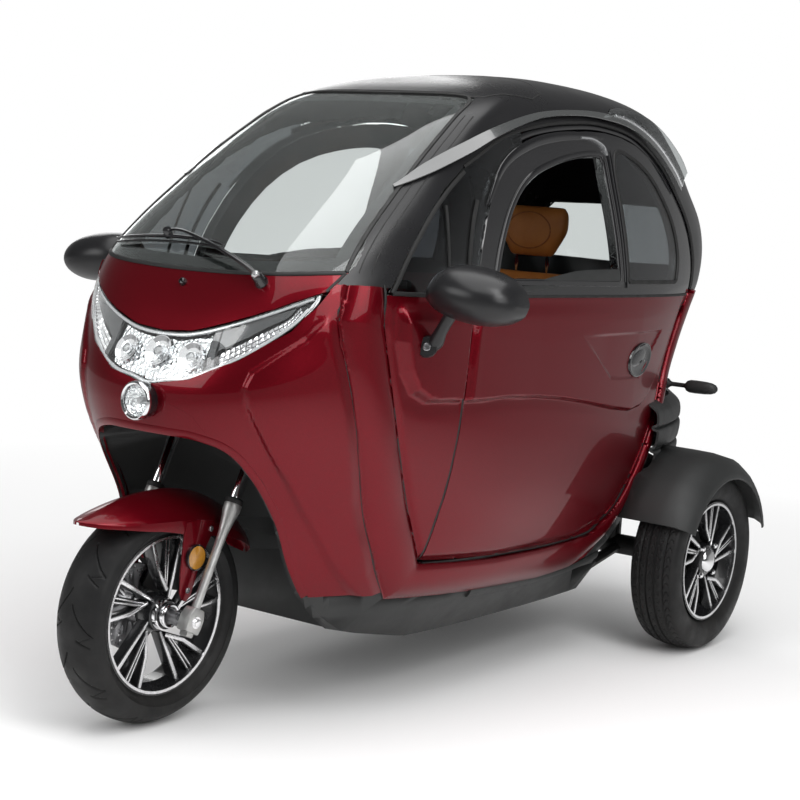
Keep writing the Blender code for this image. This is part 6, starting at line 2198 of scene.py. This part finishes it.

# %% [markdown]
# The seat is foam under leather. Each pad starts as a soft block and is blown up from inside as cloth,
# as foam swells against its cover. The seams are cords laid on afterwards, half sunk in the leather.

# %% Leather
LEATHER = finish(
    "tan leather", (0.4, 0.135, 0.026), 0.5, drift=((0.47, 0.17, 0.036), 16.0), shine=(0.4, 0.6, 18.0),
    grain=(430.0, 0.3, 0.0008),
)
THREAD = finish(
    "seam cord", (0.22, 0.07, 0.014), 0.6, drift=((0.3, 0.1, 0.02), 200.0), shine=(0.5, 0.7, 60.0)
)


def rounded_loop(centre, across, over, power=4.5, count=40):
    """A rounded rectangle whose half sides are two vectors."""
    points = []
    for k in range(count + 1):
        a = 2 * math.pi * k / count
        c, s = math.cos(a), math.sin(a)
        u = math.copysign(abs(c) ** (2 / power), c)
        v = math.copysign(abs(s) ** (2 / power), s)
        points.append(tuple(Vector(centre) + across * u + over * v))
    return points


def blown_up(piece, most):
    """Swells a piece as cloth under pressure. No point moves further than the most."""
    cloth = piece.modifiers.new("swelling", "CLOTH")
    cloth.settings.use_pressure = True
    cloth.settings.uniform_pressure_force = 4.0
    cloth.settings.effector_weights.gravity = 0.0
    before = np.empty(len(piece.data.vertices) * 3)
    piece.data.vertices.foreach_get("co", before)
    for step_number in range(1, 21):
        bpy.context.scene.frame_set(step_number)
    active(piece)
    bpy.ops.object.modifier_apply(modifier=cloth.name)
    after = np.empty_like(before)
    piece.data.vertices.foreach_get("co", after)
    move = (after - before).reshape(-1, 3)
    length = np.maximum(np.linalg.norm(move, axis=1, keepdims=True), 1e-9)
    held = before.reshape(-1, 3) + move * np.minimum(1.0, most / length)
    piece.data.vertices.foreach_set("co", held.ravel())
    piece.data.update()
    bpy.context.scene.frame_set(1)


def pad(name, rows, most, stands_for=()):
    """A padded piece from the cross-sections of its start shape."""
    piece = laid_grid(name, rows, cap=True)
    active(piece)
    remesh = piece.modifiers.new("even mesh", "REMESH")
    remesh.mode = "VOXEL"
    remesh.voxel_size = 0.006
    bpy.ops.object.modifier_apply(modifier=remesh.name)
    blown_up(piece, most)
    active(piece)
    relax = piece.modifiers.new("even", "SMOOTH")
    relax.iterations = 4
    bpy.ops.object.modifier_apply(modifier=relax.name)
    finer = piece.modifiers.new("finer", "SUBSURF")
    finer.levels = 1
    finer.render_levels = 1
    bpy.ops.object.modifier_apply(modifier=finer.name)
    piece.data.shade_smooth()
    dressed(piece, name, "vehicle", (LEATHER, CABIN), stands_for)
    return piece


def sewn(piece, line, from_above=False, closed=False):
    """A cord that lies half sunk along a line on a pad. Rays from above or from ahead find the line."""
    tree = BVHTree.FromObject(piece, bpy.context.evaluated_depsgraph_get())
    spots = []
    for a, b in line:
        start = Vector((a, b, 0.9)) if from_above else Vector((a, 0.2, b))
        hit = tree.ray_cast(start, DOWNWARD if from_above else BACKWARD)[0]
        if hit is not None:
            spots.append(hit)
    return swept("seam", spots, 0.0021, 8, closed)


# %% Seat cushion, back and headrest
cushion_rows = []
for t in np.linspace(0.0, 1.0, 15):
    full = max(0.3, (1.0 - abs(2 * t - 1) ** 7) ** 0.5)
    high = 0.0475 * full
    crown = 0.5675 + high
    cushion_rows.append(
        rounded_loop(
            (0, -0.012 + 0.452 * t, crown), Vector((0.19 - 0.012 * (1 - full), 0, 0)), Vector((0, 0, high))
        )
    )
cushion = pad("cushion_pad", cushion_rows, 0.008, ("seat_cushion",))
back_rows = []
for t in np.linspace(0.0, 1.0, 15):
    z = 0.628 + 0.374 * t
    full = max(0.3, (1.0 - abs(2 * t - 1) ** 7) ** 0.5)
    middle = float(np.interp(z, (0.62, 0.81, 1.0), (0.48, 0.515, 0.552)))
    thick = float(np.interp(z, (0.62, 0.81, 1.0), (0.0215, 0.029, 0.025))) * full
    wide = 0.184 - 0.016 * (1 - full) - 0.02 * max(0.0, t - 0.5) ** 2 * 4
    back_rows.append(rounded_loop((0, middle, z), Vector((wide, 0, 0)), Vector((0, thick, 0))))
back = pad("back_pad", back_rows, 0.007, ("seat_back",))
head_rows = []
for t in np.linspace(0.0, 1.0, 11):
    full = max(0.35, (1.0 - abs(2 * t - 1) ** 5) ** 0.5)
    wide = (0.072 + 0.034 * smooth(t / 0.6)) * (0.86 + 0.14 * full)
    head_rows.append(
        rounded_loop((0, 0.5435, 1.041 + 0.138 * t), Vector((wide, 0, 0)), Vector((0, 0.03 * full, 0)), 3.4)
    )
head = pad("headrest_pad", head_rows, 0.006)
for piece in (back, head):
    for face in piece.data.polygons:
        if face.normal.y > 0.5:
            face.material_index = 1
posts = [
    swept(
        "headrest_post", ((x, 0.545, 0.985), (x, 0.545, 1.02), (x, 0.544, 1.055)), 0.0058, 16
    ) for x in (-0.05, 0.05)
]
finished("headrest_posts", posts, CHROME, 50)
seams = [
    sewn(cushion, ellipse((0.0, 0.214), 0.16, 0.19, 72), True, True),
    sewn(back, ellipse((0.0, 0.815), 0.14, 0.16, 72), False, True),
    sewn(head, ellipse((0.0, 1.112), 0.07, 0.05, 48), False, True),
]
for y in (0.125, 0.215, 0.305):
    seams.append(sewn(cushion, [(x, y) for x in np.linspace(-0.135, 0.135, 40)], True))
for z in (0.745, 0.815, 0.885):
    seams.append(sewn(back, [(x, z) for x in np.linspace(-0.115, 0.115, 36)]))
finished("seat_seams", seams, THREAD, 60)
print("seat pads:", [len(piece.data.polygons) for piece in (cushion, back, head)])

# %% [markdown]
# Through the windscreen a small binnacle shows over the dashboard. It is a soft box of sections with
# a round dark dial, which is stretched to an oval.

# %% Instruments
cowl_rows = []
for t in np.linspace(0.0, 1.0, 9):
    full = max(0.3, (1.0 - abs(2 * t - 1) ** 4) ** 0.5)
    cowl_rows.append(
        rounded_loop(
            (0, -0.8 + 0.11 * t, 0.968), Vector((0.088 * full, 0, 0)), Vector((0, 0, 0.02 * full)), 3.0
        )
    )
binnacle = laid_grid("instrument_cover", cowl_rows, cap=True)
finished("instrument_cover", binnacle, CABIN, 50)
DIAL_PROFILE = (
    (0.0004, 0.0), (0.026, 0.0), (0.03, 0.003), (0.033, 0.001), (0.033, -0.006), (0.0004, -0.006)
)
face = spun("instrument_face", DIAL_PROFILE, (0.0, -0.686, 0.969), (0, 1, 0.1), 48)
face.data.transform(
    Matrix.Translation((0, 0, 0.969)) @ Matrix.Diagonal(
        (2.1, 1, 0.52, 1)
    ) @ Matrix.Translation((0, 0, -0.969))
)
finished("instrument_face", face, DARK_GLASS)
print("instruments are in")

# %% [markdown]
# The rear end carries the lamps, a blank number plate, reflectors and the indicators on their
# stalks. The plastic parts under it are the frame's own shapes with smooth shading.

# %% Plastic mouldings
SMOOTHED = {
    "belly_pan": 30, "wheel_arch_liner": 35, "rear_tub": 35, "rear_fender_left": 50, "rear_fender_right": 50,
}
for node, angle in SMOOTHED.items():
    moulding = cad_copy(node, node + "_moulding")
    dressed(shade(moulding, angle), node + "_moulding", "vehicle", PLASTIC, (node,))
RIDGES = (
    (0.4803, -0.012), (0.495, 0.008), (0.53, 0.014), (0.54, 0.002), (0.55, 0.014), (0.59, 0.018),
    (0.6, 0.004),
    (0.61, 0.016), (0.645, 0.012), (0.6717, -0.018),
)
ridge_rows = []
for p in spline_through([(z, stand, 0.0) for z, stand in RIDGES], 73):
    row = []
    for a in np.linspace(-math.radians(60), math.radians(60), 97):
        across = math.copysign(abs(math.sin(a)) ** (2 / 2.43), a)
        row.append(((0.44 + p.y) * across, WIDEST_Y + (1.236 + p.y) * math.cos(a) ** (2 / 2.43), p.x))
    ridge_rows.append(row)
fascia = laid_grid("fascia_cover", ridge_rows)
face_out(fascia)
thicken(fascia, 0.006)
finished("fascia_cover", fascia, PLASTIC, 50, "vehicle", ("rear_fascia",))
print("mouldings:", len(SMOOTHED) + 1)

# %% [markdown]
# Each rear lamp is a black housing with a red lens over an amber one. They are patches that follow the
# rear skin, each standing a little prouder than the one below. The number plate stays blank.

# %% Rear lamps
LAMP_LINE = (
    (0.165, 0.8), (0.225, 0.792), (0.268, 0.812), (0.286, 0.86), (0.278, 0.912), (0.235, 0.93),
    (0.18, 0.915), (0.158, 0.86),
)
lamp_line = smooth_outline(LAMP_LINE + LAMP_LINE[:1], 49)[:-1]
housings, lenses, turn_lenses = [], [], []
for side in (1, -1):
    place_outline = [(side * x, z) for x, z in lamp_line]
    housings.append(patch("rear_lamp_housing", place_outline, lifted(rear_skin, 0.0015), 0.006, 0.012))
    inner = [(side * (0.222 + (x - 0.222) * 0.86), 0.861 + (z - 0.861) * 0.86) for x, z in lamp_line]
    low = [(x, z) for x, z in inner if z < 0.852]
    high = [(x, z) for x, z in inner if z > 0.858]
    lenses.append(patch("rear_lens", high, lifted(rear_skin, 0.006), 0.006, 0.01))
    turn_lenses.append(patch("turn_lens", low, lifted(rear_skin, 0.0058), 0.006, 0.01))
finished("rear_lamp_housings", housings, GLOSS, 35)
finished("rear_lenses", lenses, BRIGHT_RED, 35)
finished("turn_lenses", turn_lenses, AMBER, 35)
PLATE_PAINT = finish(
    "blank plate", (0.72, 0.72, 0.7), 0.45, drift=((0.66, 0.66, 0.64), 12.0), shine=(0.36, 0.52, 20.0)
)
behind, _ = rear_skin(0.0, 0.742)
outline = rounded_loop((0, behind.y - 0.012, 0.765), SIDEWAYS * 0.118, Vector((0, 0, 0.062)), 9.0, 48)[:-1]
holder = plate("plate_holder", outline, (0, 0.022, 0), 0.0015)
finished("plate_holder", holder, PLASTIC, 35)
outline = rounded_loop((0, behind.y + 0.01, 0.765), SIDEWAYS * 0.11, Vector((0, 0, 0.055)), 11.0, 48)[:-1]
blank = plate("blank_plate", outline, (0, 0.0025, 0), 0.0008)
finished("blank_plate", blank, PLATE_PAINT, 35)
REFLECTOR_PROFILE = (
    (0.0004, -0.008), (0.0235, -0.008), (0.0235, 0.0035), (0.0215, 0.0055), (0.0004, 0.0065)
)
INDICATOR_LENS = ((0.0004, 0.02), (0.008, 0.019), (0.0118, 0.015), (0.0118, 0.0), (0.0004, 0.0))
reflectors, indicator_lenses = [], []
for side in (1, -1):
    reflectors.append(spun("rear_reflector", REFLECTOR_PROFILE, (side * 0.15, 1.12, 0.57), (0, 1, 0), 40))
    indicator_lenses.append(spun("indicator_lens", INDICATOR_LENS, (side * 0.398, 0.87, 0.7), (0, 1, 0), 32))
finished("rear_reflectors", reflectors, BRIGHT_RED, 35)
finished("indicator_lenses", indicator_lenses, AMBER, 35)
POD = (
    (0.0004, -0.105), (0.015, -0.105), (0.015, -0.06), (0.0088, -0.052), (0.0066, -0.046), (0.0064, -0.006),
    (0.0092, -0.002),
    (0.015, 0.003), (0.0182, 0.012), (0.0188, 0.03), (0.018, 0.06), (0.016, 0.078), (0.012, 0.089),
    (0.0065, 0.0945),
    (0.0004, 0.0955),
)
for word, side in SIDES:
    pod = spun("indicator", POD, (side * 0.349, 0.87, 0.7), (side, 0, 0), 48)
    finished("indicator_" + word, pod, PLASTIC, 40, "vehicle", ("rear_indicator_" + word,))
print("the rear end has its lamps")

# %% [markdown]
# A chrome cap covers each rear hub, with four nuts round it. The nut is a six-sided spin, which is what
# a hexagon bar turned on a lathe looks like.

# %% Rear wheel caps and nuts
CAP_PROFILE = (
    (0.0004, 0.016), (0.01, 0.0155), (0.021, 0.013), (0.029, 0.0085), (0.0335, 0.002),
    (0.0345, -0.006), (0.0004, -0.006),
)
NUT_PROFILE = ((0.0004, 0.012), (0.005, 0.012), (0.0085, 0.009), (0.0085, -0.016), (0.0004, -0.016))
for word, side in SIDES:
    hub = Vector((side * (REAR_TRACK / 2 + 0.047), REAR_AXLE_Y, REAR_TYRE_R))
    cap = spun("hub_cap", CAP_PROFILE, hub, (side, 0, 0), 56)
    finished("hub_cap_" + word, cap, CHROME, 40, "rear_wheel_" + word)
    nuts = []
    for k in range(4):
        a = math.radians(45 + 90 * k)
        place = hub + Vector((-side * 0.004, 0.052 * math.cos(a), 0.052 * math.sin(a)))
        nuts.append(spun("lug_nut", NUT_PROFILE, place, (side, 0, 0), 6))
    dressed(shade(merged("lug_nuts", nuts), 30), "lug_nuts_" + word, "rear_wheel_" + word, CHROME)
print("rear wheels have caps and nuts")

# %% [markdown]
# Frame, axle and cabin walls show little, so their solids stay as they are and only get a finish.

# %% Plain finishes for the frame's own nodes
NODE_FINISHES = {
    "frame": FRAME_PAINT, "rear_axle": FRAME_PAINT, "steering_stem": FRAME_PAINT, "front_tyre": RUBBER,
    "rear_tyre_left": RUBBER, "rear_tyre_right": RUBBER, "front_rim": ALLOY, "rear_rim_left": ALLOY,
    "rear_rim_right": ALLOY, "door_hinge_left": GLOSS, "door_hinge_right": GLOSS, "dashboard": CABIN,
    "luggage_deck": CABIN, "seat_base": CABIN,
}
for node, material in NODE_FINISHES.items():
    nodes[node].data.materials.clear()
    nodes[node].data.materials.append(material)
print("finished nodes:", len(NODE_FINISHES))

# %% [markdown]
# Last, nothing is left selected.

# %% The end
deselect()
